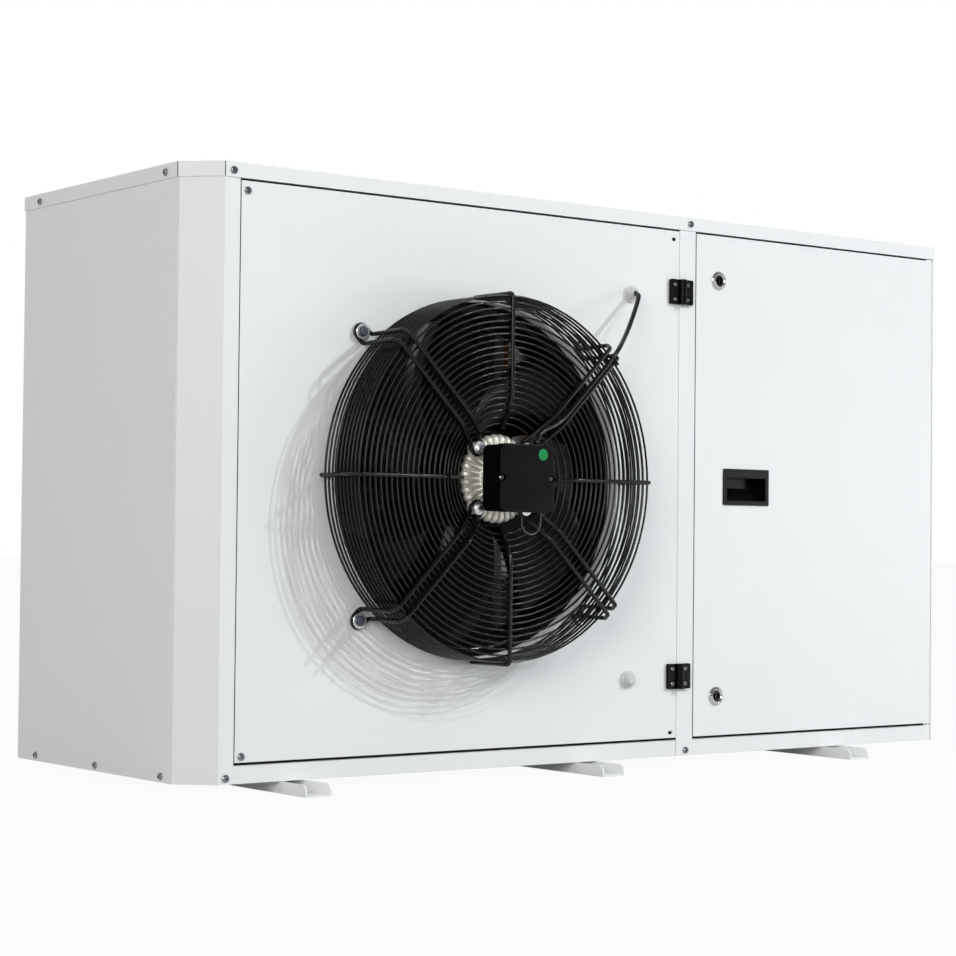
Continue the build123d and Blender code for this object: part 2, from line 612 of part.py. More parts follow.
def terminal_cover():
    """The box's lid with two screw notches."""
    back = TERMINAL_FRONT + COVER_DEPTH
    cover = rounded_box(TERMINAL_SIZE + 2, TERMINAL_CORNER + 1, TERMINAL_FRONT, back)
    cover = fillet(cover.faces().sort_by(Axis.Y)[0].outer_wire().edges(), 2.0)
    cover -= rounded_box(TERMINAL_SIZE - 4, TERMINAL_CORNER - 2, TERMINAL_FRONT + 2.5, back + 1)
    for side in (-1, 1):
        x = FAN.X + side * (TERMINAL_SIZE / 2 - 3)
        boss = rod((x - side * 2.2, FRONT + TERMINAL_FRONT + 2, FAN.Z), (x - side * 2.2, FRONT + back, FAN.Z), 6.0)
        cover += boss
        cover -= rod((x, FRONT + TERMINAL_FRONT - 1, FAN.Z), (x, FRONT + TERMINAL_FRONT + 5, FAN.Z), 5.0)
    return cover


def terminal_screws():
    """The two cover screws in their notches."""
    screw = button_screw(3.6, 2.4, 1.6, 7)
    places = [(FAN.X + side * (TERMINAL_SIZE / 2 - 3), FRONT + TERMINAL_FRONT + 5, FAN.Z) for side in (-1, 1)]
    return group([facing(p, (0, -1, 0)) * screw for p in places])


# Fan lead
LEAD_ALONG_ARM = [
    (33.0, -98.0, 40.0), (33.5, -98.0, 53.0), (41.0, -96.8, 63.5), (55.0, -94.5, 69.5), (73.0, -91.8, 75.5),
    (88.1, -89.9, 85.0), (111.7, -89.4, 108.1), (145.4, -89.2, 142.5),
]
LEAD_TO_GROMMET = [
    (-114.2, -89.6, -109.4), (-97.4, -85.6, -93.2), (-79.0, -73.5, -80.0), (-53.0, -56.0, -59.0),
    (-28.0, -40.0, -32.0), (-10.0, -27.5, -12.5), (0.0, -18.5, -0.5), (0.0, 2.0, 0.0),
]


def lead_route():
    """The lead's corners: the first ones measured from the fan's axis, the rest from the grommet."""
    gx, gz = GROMMETS[0]
    along = [(FAN.X + x, FRONT + y, FAN.Z + z) for x, y, z in LEAD_ALONG_ARM]
    return along + [(LEFT + gx + x, FRONT + y, BASE + gz + z) for x, y, z in LEAD_TO_GROMMET]


def lead_radii(points):
    """The largest even bend radius that each corner's two runs allow."""
    radii = []
    for a, b, c in zip(points, points[1:], points[2:]):
        before, after = Vector(*b) - Vector(*a), Vector(*c) - Vector(*b)
        turn = math.radians(before.get_angle(after))
        radii.append(0.45 * min(before.length, after.length) / math.tan(turn / 2))
    return radii


def fan_lead():
    """The black lead from the terminal box, along an arm and through the grommet."""
    points = lead_route()
    radii = lead_radii(points)
    print("fan lead bend radii", [round(r, 1) for r in radii])
    path = FilletPolyline(*points, radius=radii)
    print("fan lead length", round(path.length, 1))
    lead = sweep(Plane(path @ 0, z_dir=path % 0) * Circle(LEAD_RADIUS), path)
    print("fan lead volume over section times length", round(lead.volume / (math.pi * LEAD_RADIUS**2 * path.length), 5))
    return lead


def cable_grommet():
    """The stepped cone that the lead passes through."""
    x, z = GROMMETS[0]
    return grommet(x, z) - Pos(LEFT + x, FRONT, BASE + z) * Rot(90, 0, 0) * Cylinder(LEAD_RADIUS + 0.5, 60)


def blank_grommet():
    """The same cone left closed."""
    return grommet(*GROMMETS[1])


def grommet(x, z):
    """A stepped rubber cone with a groove for the panel's edge."""
    steps = [(12.5, 0), (12.5, -4), (10.0, -4), (10.0, -6.5), (8.0, -6.5), (8.0, -9), (6.0, -9), (6.0, -11.5)]
    neck = [(0, -11.5), (0, 5), (11.0, 5), (11.0, SHEET), (GROMMET_NECK, SHEET), (GROMMET_NECK, 0)]
    face = make_face(Polyline(*neck, *steps, close=True))
    return Pos(LEFT + x, FRONT, BASE + z) * revolve(face, Axis.Y, 360)


# Impeller
def rotor():
    """The outer rotor: a deep cup turning on the axle."""
    bore = SHAFT_RADIUS + 0.05
    profile = Polyline(
        (bore, ROTOR_BACK - 14), (ROTOR_RADIUS - 4, ROTOR_BACK - 14), (ROTOR_RADIUS - 4, ROTOR_FRONT), (ROTOR_RADIUS, ROTOR_FRONT),
        (ROTOR_RADIUS, ROTOR_BACK - 8), (ROTOR_RADIUS - 8, ROTOR_BACK), (bore, ROTOR_BACK), close=True,
    )
    return about_fan(make_face(profile))


def blade_section(radius, chord, pitch, sweep_angle):
    """A cambered blade section on the tangent plane at a radius."""
    camber = chord * 0.09
    half, thick = chord / 2, BLADE_THICKNESS
    upper = ThreePointArc((-half, 0), (0, camber + thick / 2), (half, 0))
    lower = ThreePointArc((half, 0), (0, camber - thick / 2), (-half, 0))
    face = make_face(upper + lower)
    middle = BLADE_FRONT + BLADE_HALF_DEPTH
    place = Rot(0, sweep_angle, 0) * Pos(radius, middle, 0)
    return place * Plane((0, 0, 0), x_dir=(0, 0, 1), z_dir=(1, 0, 0)).location * Rot(0, 0, pitch) * face


def fan_blades():
    """Five wide sickle blades, lofted from cambered sections and trimmed to the hub and the tip circle."""
    tip = THROAT_RADIUS - TIP_GAP
    stations = [
        (ROTOR_RADIUS - 6, 82, 36, 0), (ROTOR_RADIUS + 45, 112, 29, 4), (ROTOR_RADIUS + 100, 140, 22, 14), (tip + 8, 158, 17, 30),
    ]
    blade = loft([blade_section(*s) for s in stations])
    band = rod((0, -60, 0), (0, 160, 0), tip) - rod((0, -60, 0), (0, 160, 0), ROTOR_RADIUS + 0.1)
    blade = blade & band
    at = Pos(FAN.X, FAN.Y, FAN.Z)
    return group([at * Rot(0, 360 * (i + BLADE_START) / BLADE_COUNT, 0) * blade for i in range(BLADE_COUNT)])


# Hinges
def hinge_leaf(side, z):
    """One leaf of a moulded hinge with its half of the knuckle and two screw sinks."""
    axis = LEFT + HINGE_X
    reach = axis + side * HINGE_WIDTH / 2
    near = axis + side * 0.4
    x0, x1 = sorted((near, reach))
    z0, z1 = BASE + z - HINGE_HEIGHT / 2, BASE + z + HINGE_HEIGHT / 2
    leaf = block((x0, x1), (FRONT - HINGE_PLATE, FRONT), (z0, z1))
    leaf = fillet(leaf.edges().filter_by(Axis.Y), 2.0)
    for dz in (-LEAF_SCREW_PITCH / 2, LEAF_SCREW_PITCH / 2):
        x = axis + side * LEAF_SCREW_OFFSET
        leaf -= rod((x, FRONT - HINGE_PLATE - 1, BASE + z + dz), (x, FRONT - 3.0, BASE + z + dz), 4.2)
    spans = [(z0, z0 + 11), (z1 - 11, z1)] if side > 0 else [(z0 + 11.3, z1 - 11.3)]
    other = [(z0 - 1, z0 + 11.3), (z1 - 11.3, z1 + 1)] if side < 0 else [(z0 + 11, z1 - 11)]
    for a, b in other:
        leaf -= rod((axis, FRONT + HINGE_AXIS_Y, a), (axis, FRONT + HINGE_AXIS_Y, b), KNUCKLE_RADIUS + 0.3)
    for a, b in spans:
        barrel = rod((axis, FRONT + HINGE_AXIS_Y, a), (axis, FRONT + HINGE_AXIS_Y, b), KNUCKLE_RADIUS)
        leaf += barrel & block((axis - 20, axis + 20), (FRONT - 20, FRONT), (a, b))
        leaf -= rod((axis, FRONT + HINGE_AXIS_Y, a - 1), (axis, FRONT + HINGE_AXIS_Y, b + 1), HINGE_PIN_RADIUS + 0.05)
    return leaf


def hinge_pins():
    """The steel pins through the knuckles."""
    pins = []
    for z in HINGE_HEIGHTS:
        z0, z1 = BASE + z - HINGE_HEIGHT / 2, BASE + z + HINGE_HEIGHT / 2
        x, y = LEFT + HINGE_X, FRONT + HINGE_AXIS_Y
        pins.append(rod((x, y, z0 + 0.5), (x, y, z1 - 0.5), HINGE_PIN_RADIUS))
    return group(pins)


def leaf_screws(side):
    """The small sunk screws of the hinge leaves on one side."""
    screw = button_screw(3.6, 1.8, 1.6, 2.6)
    x = LEFT + HINGE_X + side * LEAF_SCREW_OFFSET
    places = [(x, FRONT - 3.0, BASE + z + dz) for z in HINGE_HEIGHTS for dz in (-LEAF_SCREW_PITCH / 2, LEAF_SCREW_PITCH / 2)]
    return group([facing(p, (0, -1, 0)) * screw for p in places])


def panel_screws():
    """The two long screws that hold the fan panel shut."""
    screw = button_screw(5.0, 2.8, PANEL_SCREW_RADIUS, POST_RETURN + 6)
    places = [(LEFT + PANEL_SCREW_X, FRONT, BASE + z) for z in PANEL_SCREW_HEIGHTS]
    return group([facing(p, (0, -1, 0)) * screw for p in places])


# Service door
DOOR_LEFT = LEFT + CENTRE_POST_START + CENTRE_POST_WIDTH + DOOR_GAP
DOOR_RIGHT = RIGHT - SHEET - 2.2
PIVOT_X = DOOR_RIGHT - PIVOT_INSET
PIVOT_Y = FRONT + PIVOT_INSET


def service_door():
    """The door of the compressor side, with cut-outs for the handle, the locks and the pivots."""
    door = shallow_pan(DOOR_LEFT, DOOR_RIGHT)
    for z in LOCK_HEIGHTS:
        door -= rod((LEFT + LOCK_X, FRONT - 1, BASE + z), (LEFT + LOCK_X, FRONT + 5, BASE + z), LOCK_BODY_RADIUS + 0.2)
    wide, high = HANDLE_WIDTH / 2 - HANDLE_RIM + 0.3, HANDLE_HEIGHT / 2 - HANDLE_RIM + 0.3
    x, z = LEFT + HANDLE_X, BASE + HANDLE_Z
    door -= block((x - wide, x + wide), (FRONT - 1, FRONT + 5), (z - high, z + high))
    for z0 in (DOOR_BOTTOM - 1, DOOR_TOP - 4):
        door -= rod((PIVOT_X, PIVOT_Y, z0), (PIVOT_X, PIVOT_Y, z0 + 5), PIVOT_RADIUS + 0.05)
    return door


def door_pivots():
    """The two brackets on the right panel whose pins carry the door."""
    x0, x1 = PIVOT_X - 8, RIGHT - SHEET
    low = block((x0, x1), (FRONT + 2 * SHEET, STOP_Y - 1), (DOOR_BOTTOM - 1 - SHEET, DOOR_BOTTOM - 1))
    low += rod((PIVOT_X, PIVOT_Y, DOOR_BOTTOM - 1 - SHEET), (PIVOT_X, PIVOT_Y, DOOR_BOTTOM + 6), PIVOT_RADIUS)
    low += block((PIVOT_X - 3, x1), (FRONT + SHEET + 0.3, FRONT + 2 * SHEET), (DOOR_BOTTOM - 1 - SHEET, DOOR_BOTTOM - 1))
    high = block((x0, x1), (FRONT + SHEET, STOP_Y - 1), (DOOR_TOP + 1, DOOR_TOP + 1 + SHEET))
    high += rod((PIVOT_X, PIVOT_Y, DOOR_TOP - 6), (PIVOT_X, PIVOT_Y, DOOR_TOP + 1 + SHEET), PIVOT_RADIUS)
    return group([low, high])


def door_handle():
    """A recessed pull: a flat rim and a pocket whose floor slopes up behind the top edge."""
    x, z = LEFT + HANDLE_X, BASE + HANDLE_Z
    w, h = HANDLE_WIDTH / 2, HANDLE_HEIGHT / 2
    rim = block((x - w, x + w), (FRONT - HANDLE_WALL, FRONT), (z - h, z + h))
    rim = fillet(rim.edges().filter_by(Axis.Y), 2.0)
    wi, hi = w - HANDLE_RIM, h - HANDLE_RIM
    cup = block((x - wi, x + wi), (FRONT - 0.5, FRONT + HANDLE_DEPTH), (z - hi, z + hi))
    pocket = Plane.YZ * make_face(
        Polyline(
            (FRONT - HANDLE_WALL - 1, z - hi + HANDLE_WALL), (FRONT + 3, z - hi + HANDLE_WALL),
            (FRONT + HANDLE_DEPTH - HANDLE_WALL, z - 2), (FRONT + HANDLE_DEPTH - HANDLE_WALL, z + hi - HANDLE_WALL),
            (FRONT + HANDLE_WALL, z + hi - HANDLE_WALL), (FRONT + HANDLE_WALL, z + hi - 9),
            (FRONT - HANDLE_WALL - 1, z + hi - 9), close=True,
        )
    )
    cavity = Pos(x - wi + HANDLE_WALL, 0, 0) * extrude(pocket, 2 * (wi - HANDLE_WALL), dir=(1, 0, 0))
    return rim + cup - cavity


def lock_bodies():
    """The lock housings: a domed ring in front, a barrel through the door and its nut."""
    locks = []
    for z in LOCK_HEIGHTS:
        face = make_face(
            Polyline(
                (LOCK_INSERT_RADIUS + 0.08, -2.2), (LOCK_INSERT_RADIUS + 2, -4.5), (LOCK_FACE_RADIUS - 3, -4.0), (LOCK_FACE_RADIUS, -1.2),
                (LOCK_FACE_RADIUS, 0), (LOCK_BODY_RADIUS, 0), (LOCK_BODY_RADIUS, 4), (LOCK_BODY_RADIUS + 3, 4),
                (LOCK_BODY_RADIUS + 3, 9), (LOCK_BODY_RADIUS, 9), (LOCK_BODY_RADIUS, STOP_Y - FRONT), (LOCK_INSERT_RADIUS + 0.08, STOP_Y - FRONT),
                close=True,
            )
        )
        locks.append(Pos(LEFT + LOCK_X, FRONT, BASE + z) * revolve(face, Axis.Y, 360))
    return group(locks)


def lock_insert(z):
    """The turning insert with its driver recess and its cam, shown released."""
    x, z = LEFT + LOCK_X, BASE + z
    cam_y = STOP_Y + SHEET + 1.5
    insert = rod((x, FRONT - 1.5, z), (x, cam_y, z), LOCK_INSERT_RADIUS)
    ring = rod((x, FRONT - 2, z), (x, FRONT + 8, z), 5.8) - rod((x, FRONT - 3, z), (x, FRONT + 9, z), 2.4)
    insert -= ring - block((x - 1.3, x + 1.3), (FRONT - 3, FRONT + 9), (z - 7, z + 7))
    insert += block((x - 1.3, x + 1.3), (FRONT - 0.5, FRONT + 9), (z - 5.8, z + 5.8))
    cam = block((x - CAM_WIDTH / 2, x + CAM_WIDTH / 2), (cam_y, cam_y + CAM_THICKNESS), (z - CAM_LENGTH, z + CAM_WIDTH / 2))
    cam = fillet(cam.edges().filter_by(Axis.Y), 4.0)
    return insert + cam


# Coil across the back
COIL_BACK = BACK - 6.0
COIL_FRONT = COIL_BACK - COIL_DEPTH


def condenser_coil():
    """The fin pack."""
    return block((LEFT + COIL_LEFT, LEFT + COIL_RIGHT), (COIL_FRONT, COIL_BACK), (BASE + COIL_BOTTOM, BASE + COIL_TOP))


def coil_end_plates():
    """The flanged plates at the two ends of the fin pack."""
    plates = []
    for x, side in ((LEFT + COIL_LEFT, -1), (LEFT + COIL_RIGHT, 1)):
        z0, z1 = BASE + SHEET, BASE + COIL_TOP + 4
        x0, x1 = sorted((x, x + side * SHEET))
        f0, f1 = sorted((x, x - side * 16))
        plate = block((x0, x1), (COIL_FRONT - SHEET, COIL_BACK + SHEET), (z0, z1))
        for y in (COIL_FRONT - SHEET, COIL_BACK):
            plate += block((f0, f1), (y, y + SHEET), (z0, z1))
        plates.append(plate)
    return group(plates)


def coil_bends():
    """The return bends of the coil's tubes, outside its left end plate."""
    bends = []
    x = LEFT + COIL_LEFT - SHEET
    reach = 8.0
    for row, y in enumerate((COIL_FRONT + 16, COIL_BACK - 16)):
        for i in range(COIL_BENDS):
            z = BASE + COIL_BOTTOM + 40 + i * COIL_BEND_PITCH + row * COIL_TUBE_PITCH / 2
            points = [(x, y, z), (x - reach - 12, y, z), (x - reach - 12, y, z + COIL_TUBE_PITCH), (x, y, z + COIL_TUBE_PITCH)]
            path = FilletPolyline(*points, radius=COIL_TUBE_PITCH / 2 - 0.2)
            section = Plane(path @ 0, z_dir=path % 0) * RegularPolygon(COIL_TUBE_RADIUS, 6)
            bends.append(sweep(section, path))
    return group(bends)


def coil_headers():
    """The inlet and outlet manifolds between the coil and the partition."""
    x = LEFT + COIL_RIGHT + SHEET
    headers = []
    upper, lower = (COIL_TOP - 354, COIL_TOP - 34), (COIL_BOTTOM + 30, COIL_BOTTOM + 230)
    for y, z0, z1 in ((COIL_FRONT + 16, *upper), (COIL_BACK - 16, *lower)):
        pipe_x = x + 15
        head = rod((pipe_x, y, BASE + z0), (pipe_x, y, BASE + z1), 9)
        for i in range(3):
            z = BASE + z0 + 30 + i * (z1 - z0 - 60) / 2
            head += rod((x, y, z), (pipe_x, y, z), COIL_TUBE_RADIUS)
        headers.append(head)
    return group(headers)


# Compressor set
def at(x, y, z=0.0):
    """A point measured from the cabinet's left, front and underside."""
    return (LEFT + x, FRONT + y, BASE + z)


COMPRESSOR_FLOOR = SHEET + RUBBER_FOOT_HEIGHT
COMPRESSOR_TOP = COMPRESSOR_FLOOR + 4 + COMPRESSOR_HEIGHT


def compressor():
    """The hermetic shell: a drawn bowl and a domed cap with a welded seam, on its foot plate."""
    r, h, dome = COMPRESSOR_RADIUS, COMPRESSOR_HEIGHT, 42.0
    shell = Polyline((0, 0), (r - 18, 0), (r - 4, 14), (r - 4, h * 0.48), (r, h * 0.48), (r, h * 0.54), (r - 3, h * 0.54), (r - 3, h - dome))
    dome_radius = ((r - 3) ** 2 + dome**2) / (2 * dome)
    top = RadiusArc((r - 3, h - dome), (0, h), -dome_radius)
    face = Plane.XZ * make_face(shell + top + Line((0, h), (0, 0)))
    body = Pos(*at(COMPRESSOR_X, COMPRESSOR_Y, COMPRESSOR_FLOOR + 4)) * revolve(face, Axis.Z, 360)
    half = COMPRESSOR_PLATE / 2
    x, y, z = at(COMPRESSOR_X, COMPRESSOR_Y, COMPRESSOR_FLOOR)
    plate = block((x - half, x + half), (y - half, y + half), (z, z + 4))
    plate = chamfer(plate.edges().filter_by(Axis.Z), 16)
    for dx in (-1, 1):
        for dy in (-1, 1):
            plate -= rod((x + dx * FOOT_INSET, y + dy * FOOT_INSET, z - 1), (x + dx * FOOT_INSET, y + dy * FOOT_INSET, z + 5), 8.2)
    return body + plate


FOOT_INSET = 72.0


def compressor_feet():
    """The four waisted rubber feet under the compressor's plate, each with a bolt and a washer."""
    face = make_face(
        Polyline((0, 0), (14, 0), (14, 4), (11, RUBBER_FOOT_HEIGHT / 2), (14, RUBBER_FOOT_HEIGHT), (8, RUBBER_FOOT_HEIGHT), (8, RUBBER_FOOT_HEIGHT + 6), (0, RUBBER_FOOT_HEIGHT + 6), close=True)
    )
    foot = revolve(Plane.XZ * face, Axis.Z, 360)
    places = [at(COMPRESSOR_X + dx * FOOT_INSET, COMPRESSOR_Y + dy * FOOT_INSET, SHEET) for dx in (-1, 1) for dy in (-1, 1)]
    return group([Pos(*p) * foot for p in places])


def compressor_cover():
    """The plastic cover over the compressor's terminals."""
    x, y, z = at(COMPRESSOR_X, COMPRESSOR_Y - COMPRESSOR_RADIUS + 8, 190)
    cover = block((x - 34, x + 34), (y - 42, y + 4), (z - 30, z + 40))
    cover = fillet(cover.edges().filter_by(Axis.Y), 8)
    shell = rod(at(COMPRESSOR_X, COMPRESSOR_Y, 0), at(COMPRESSOR_X, COMPRESSOR_Y, 500), COMPRESSOR_RADIUS + 0.2)
    return cover - shell


def receiver():
    """The liquid receiver: a vertical steel vessel with domed ends on a ring foot."""
    r, h = RECEIVER_RADIUS, RECEIVER_HEIGHT
    profile = Polyline((0, 20), (r - 22, 20), (r - 22, 0), (r - 19, 0), (r - 19, 20), (r - 6, 26), (r, 40), (r, h - 20), (r - 6, h - 6), (r - 24, h), (12, h), (12, h + 8), (0, h + 8), close=True)
    face = Plane.XZ * make_face(profile)
    return Pos(*at(RECEIVER_X, RECEIVER_Y, SHEET)) * revolve(face, Axis.Z, 360)


def receiver_strap():
    """The strap that ties the receiver to the right panel."""
    x, y, z = at(RECEIVER_X, RECEIVER_Y, 200)
    ring = rod((x, y, z), (x, y, z + 20), RECEIVER_RADIUS + 2.2) - rod((x, y, z - 1), (x, y, z + 21), RECEIVER_RADIUS + 0.2)
    arm = block((x + RECEIVER_RADIUS - 4, RIGHT - SHEET), (y - 12, y + 12), (z, z + 20))
    arm -= rod((x, y, z - 1), (x, y, z + 21), RECEIVER_RADIUS + 0.2)
    return ring + arm


def discharge_crossing():
    """Where the hot-gas pipe passes the partition: y, z and radius."""
    return [(COIL_FRONT + 16, BASE + DISCHARGE_Z, DISCHARGE_RADIUS)]


def liquid_crossing():
    """Where the liquid pipe from the coil passes the partition: y, z and radius."""
    return [(COIL_BACK - 16, BASE + 90, LIQUID_RADIUS)]


def discharge_pipe():
    """The hot-gas pipe from the compressor's side up and over to the coil's inlet manifold."""
    y = COIL_FRONT + 16
    start = Vector(*at(COMPRESSOR_X, COMPRESSOR_Y + COMPRESSOR_RADIUS - 5, 300))
    end_x = LEFT + COIL_RIGHT + SHEET + 15 + 9
    top = BASE + DISCHARGE_Z
    points = [start, start + Vector(0, 42, 0), (start.X, start.Y + 42, top), (start.X - 40, y, top), (end_x, y, top)]
    return pipe(points, DISCHARGE_RADIUS, 16)


def suction_pipe():
    """The wide insulated-side pipe from the suction valve to the compressor."""
    x, y, z = at(COMPRESSOR_X + COMPRESSOR_RADIUS - 5, COMPRESSOR_Y - 20, 260)
    valve_x = RIGHT - VALVE_INSET
    points = [(x, y, z), (x + 48, y, z), (x + 48, FRONT + SUCTION_Y, BASE + SUCTION_Z + 60), (valve_x - 40, FRONT + SUCTION_Y, BASE + SUCTION_Z), (valve_x, FRONT + SUCTION_Y, BASE + SUCTION_Z)]
    return pipe(points, SUCTION_RADIUS, 18)


def service_valve(y, z, radius):
    """A shut-off valve behind the right panel: body, stem cap and the outside stub."""
    x = RIGHT - VALVE_INSET
    body_radius = radius + 7
    valve = rod((x, y, z), (x + 40, y, z), body_radius)
    valve += rod((x + 20, y, z), (x + 20, y - body_radius - 20, z), radius + 3)
    valve += rod((x + 20, y - body_radius - 12, z), (x + 20, y - body_radius - 22, z), radius + 5)
    valve += rod((x + 40, y, z), (RIGHT + STUB_LENGTH, y, z), radius)
    return valve


def service_valves():
    """The suction and liquid valves whose stubs leave through the right panel."""
    return group([
        service_valve(FRONT + SUCTION_Y, BASE + SUCTION_Z, SUCTION_RADIUS),
        service_valve(FRONT + LIQUID_Y, BASE + LIQUID_Z, LIQUID_RADIUS),
    ])


def filter_drier():
    """The filter drier: a copper-ended canister lying before the receiver."""
    face = make_face(Polyline((0, 0), (8, 0), (24, 14), (24, 104), (8, 118), (0, 118), close=True))
    return Pos(*at(DRIER_X, LIQUID_Y, LIQUID_Z)) * revolve(Plane((0, 0, 0), x_dir=(0, 0, 1), z_dir=(0, 1, 0)) * face, Axis.X, 360)


def liquid_pipes():
    """The liquid pipes: coil to receiver, receiver to drier, drier to valve."""
    y = COIL_BACK - 16
    z = BASE + 90
    start_x = LEFT + COIL_RIGHT + SHEET + 15 + 9
    rx, ry, rz = at(RECEIVER_X, RECEIVER_Y, RECEIVER_HEIGHT + SHEET + 8)
    first = pipe(
        [(start_x, y, z), (rx - 110, y, z), (rx - 110, ry, rz + 45), (rx - 5, ry, rz + 45), (rx - 5, ry, rz)], LIQUID_RADIUS, 14,
    )
    dx, dy, dz = at(DRIER_X, LIQUID_Y, LIQUID_Z)
    valve_x = RIGHT - VALVE_INSET
    last = rod((dx + 118, dy, dz), (valve_x, dy, dz), LIQUID_RADIUS)
    second = pipe(
        [(rx - RECEIVER_RADIUS + 3, ry - 20, BASE + 60), (rx - 112, ry - 20, BASE + 60), (dx - 30, dy, dz), (dx, dy, dz)], LIQUID_RADIUS, 12,
    )
    return group([first, second, last])


def control_box():
    """The electrical box hung on the partition, open to the front under its cover."""
    x0, y0, z0 = at(CENTRE_POST_START + CENTRE_POST_WIDTH / 2 + SHEET, CONTROL_FRONT, CONTROL_BOTTOM)
    x1, y1, z1 = x0 + CONTROL_WIDTH, y0 + CONTROL_DEPTH, z0 + CONTROL_HEIGHT
    box = block((x0, x1), (y0, y1), (z0, z1))
    box -= block((x0 + SHEET, x1 - SHEET), (y0 - 1, y1 - SHEET), (z0 + SHEET, z1 - SHEET))
    return box


def control_cover():
    """The cover of the electrical box, with the hole of the switch."""
    x0, y0, z0 = at(CENTRE_POST_START + CENTRE_POST_WIDTH / 2 + SHEET, CONTROL_FRONT, CONTROL_BOTTOM)
    cover = block((x0, x0 + CONTROL_WIDTH), (y0 - SHEET, y0), (z0, z0 + CONTROL_HEIGHT))
    x, y, z = switch_place()
    return cover - rod((x, y - 5, z), (x, y + 5, z), 6.06)


def switch_place():
    """The main switch's axis on the cover's face."""
    x0, y0, z0 = at(CENTRE_POST_START + CENTRE_POST_WIDTH / 2 + SHEET, CONTROL_FRONT, CONTROL_BOTTOM)
    return x0 + CONTROL_WIDTH / 2, y0 - SHEET, z0 + CONTROL_HEIGHT - 60


def main_switch():
    """The rotary main switch: round skirt, grip bar and spindle."""
    x, y, z = switch_place()
    knob = rod((x, y - 0.4, z), (x, y - 6, z), 20)
    grip = block((x - 5, x + 5), (y - 20, y - 6), (z - 18, z + 18))
    grip = fillet(grip.edges().filter_by(Axis.Y), 3.0)
    return knob + grip + rod((x, y - 1, z), (x, y + 14, z), 6)


def pressure_switch():
    """The pressure control beside the electrical box, hung on the right panel."""
    x, y, z = at(0, 120, PRESSURE_SWITCH_Z)
    x1 = RIGHT - SHEET
    box = block((x1 - 46, x1), (y, y + 74), (z, z + 96))
    box = fillet(box.edges().filter_by(Axis.X), 5)
    box += rod((x1 - 23, y + 22, z), (x1 - 23, y + 22, z - 24), 11)
    return box + rod((x1 - 23, y + 54, z), (x1 - 23, y + 54, z - 24), 11)


def supply_gland():
    """The cable gland in the right panel."""
    x, y, z = RIGHT, FRONT + GLAND_Y, BASE + GLAND_Z
    outside = Plane((x, y, z), z_dir=(1, 0, 0))
    body = outside * extrude(RegularPolygon(15, 6), 7)
    body += rod((x + 7, y, z), (x + 24, y, z), 12)
    body += rod((x - 12, y, z), (x, y, z), GLAND_THREAD - 0.2)
    body += Plane((x - SHEET, y, z), z_dir=(-1, 0, 0)) * extrude(RegularPolygon(14, 6), 5)
    return body - rod((x - 20, y, z), (x + 30, y, z), GLAND_BORE_RADIUS)


def main():
    """Writes each piece to its own file."""
    pieces = {
        "floor_rails": group([floor_rail(i * RAIL_PITCH) for i in (-1, 0, 1)]),
        "base_tray": base_tray(),
        "lid": lid(),
        "left_panel": left_panel(),
        "corner_post": corner_post(),
        "centre_post": centre_post(),
        "partition": partition(),
        "right_panel": right_panel(),
        "rear_panel": rear_panel(),
        "cabinet_screws": cabinet_screws(),
        "condenser_coil": condenser_coil(),
        "coil_end_plates": coil_end_plates(),
        "coil_bends": coil_bends(),
        "coil_headers": coil_headers(),
        "compressor": compressor(),
        "compressor_feet": compressor_feet(),
        "compressor_cover": compressor_cover(),
        "receiver": receiver(),
        "receiver_strap": receiver_strap(),
        "filter_drier": filter_drier(),
        "discharge_pipe": discharge_pipe(),
        "suction_pipe": suction_pipe(),
        "liquid_pipes": liquid_pipes(),
        "service_valves": service_valves(),
        "control_box": control_box(),
        "control_cover": control_cover(),
        "main_switch": main_switch(),
        "pressure_switch": pressure_switch(),
        "supply_gland": supply_gland(),
        "hinge_post_leaves": group([hinge_leaf(1, z) for z in HINGE_HEIGHTS]),
        "hinge_post_screws": leaf_screws(1),
        "hinge_pins": hinge_pins(),
        "door_pivots": door_pivots(),
        "fan_panel": fan_panel(),
        "fan_ring": fan_ring(),
        "guard_front": guard_front(),
        "guard_skirt": guard_skirt(),
        "guard_arms": guard_arms(),
        "guard_bolts": guard_bolts(),
        "motor_flange": motor_flange(),
        "motor_bolts": motor_bolts(),
        "motor_shaft": motor_shaft(),
        "terminal_box": terminal_box(),
        "terminal_cover": terminal_cover(),
        "terminal_screws": terminal_screws(),
        "fan_lead": fan_lead(),
        "cable_grommet": cable_grommet(),
        "blank_grommet": blank_grommet(),
        "hinge_panel_leaves": group([hinge_leaf(-1, z) for z in HINGE_HEIGHTS]),
        "hinge_panel_screws": leaf_screws(-1),
        "panel_screws": panel_screws(),
        "rotor": rotor(),
        "fan_blades": fan_blades(),
        "service_door": service_door(),
        "door_handle": door_handle(),
        "lock_bodies": lock_bodies(),
        "lock_insert_upper": lock_insert(LOCK_HEIGHTS[1]),
        "lock_insert_lower": lock_insert(LOCK_HEIGHTS[0]),
    }
    os.makedirs("parts", exist_ok=True)
    for name, piece in pieces.items():
        export_step(piece, f"parts/{name}.step")


main()
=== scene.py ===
import json
import math

import bpy
from mathutils import Matrix, Vector


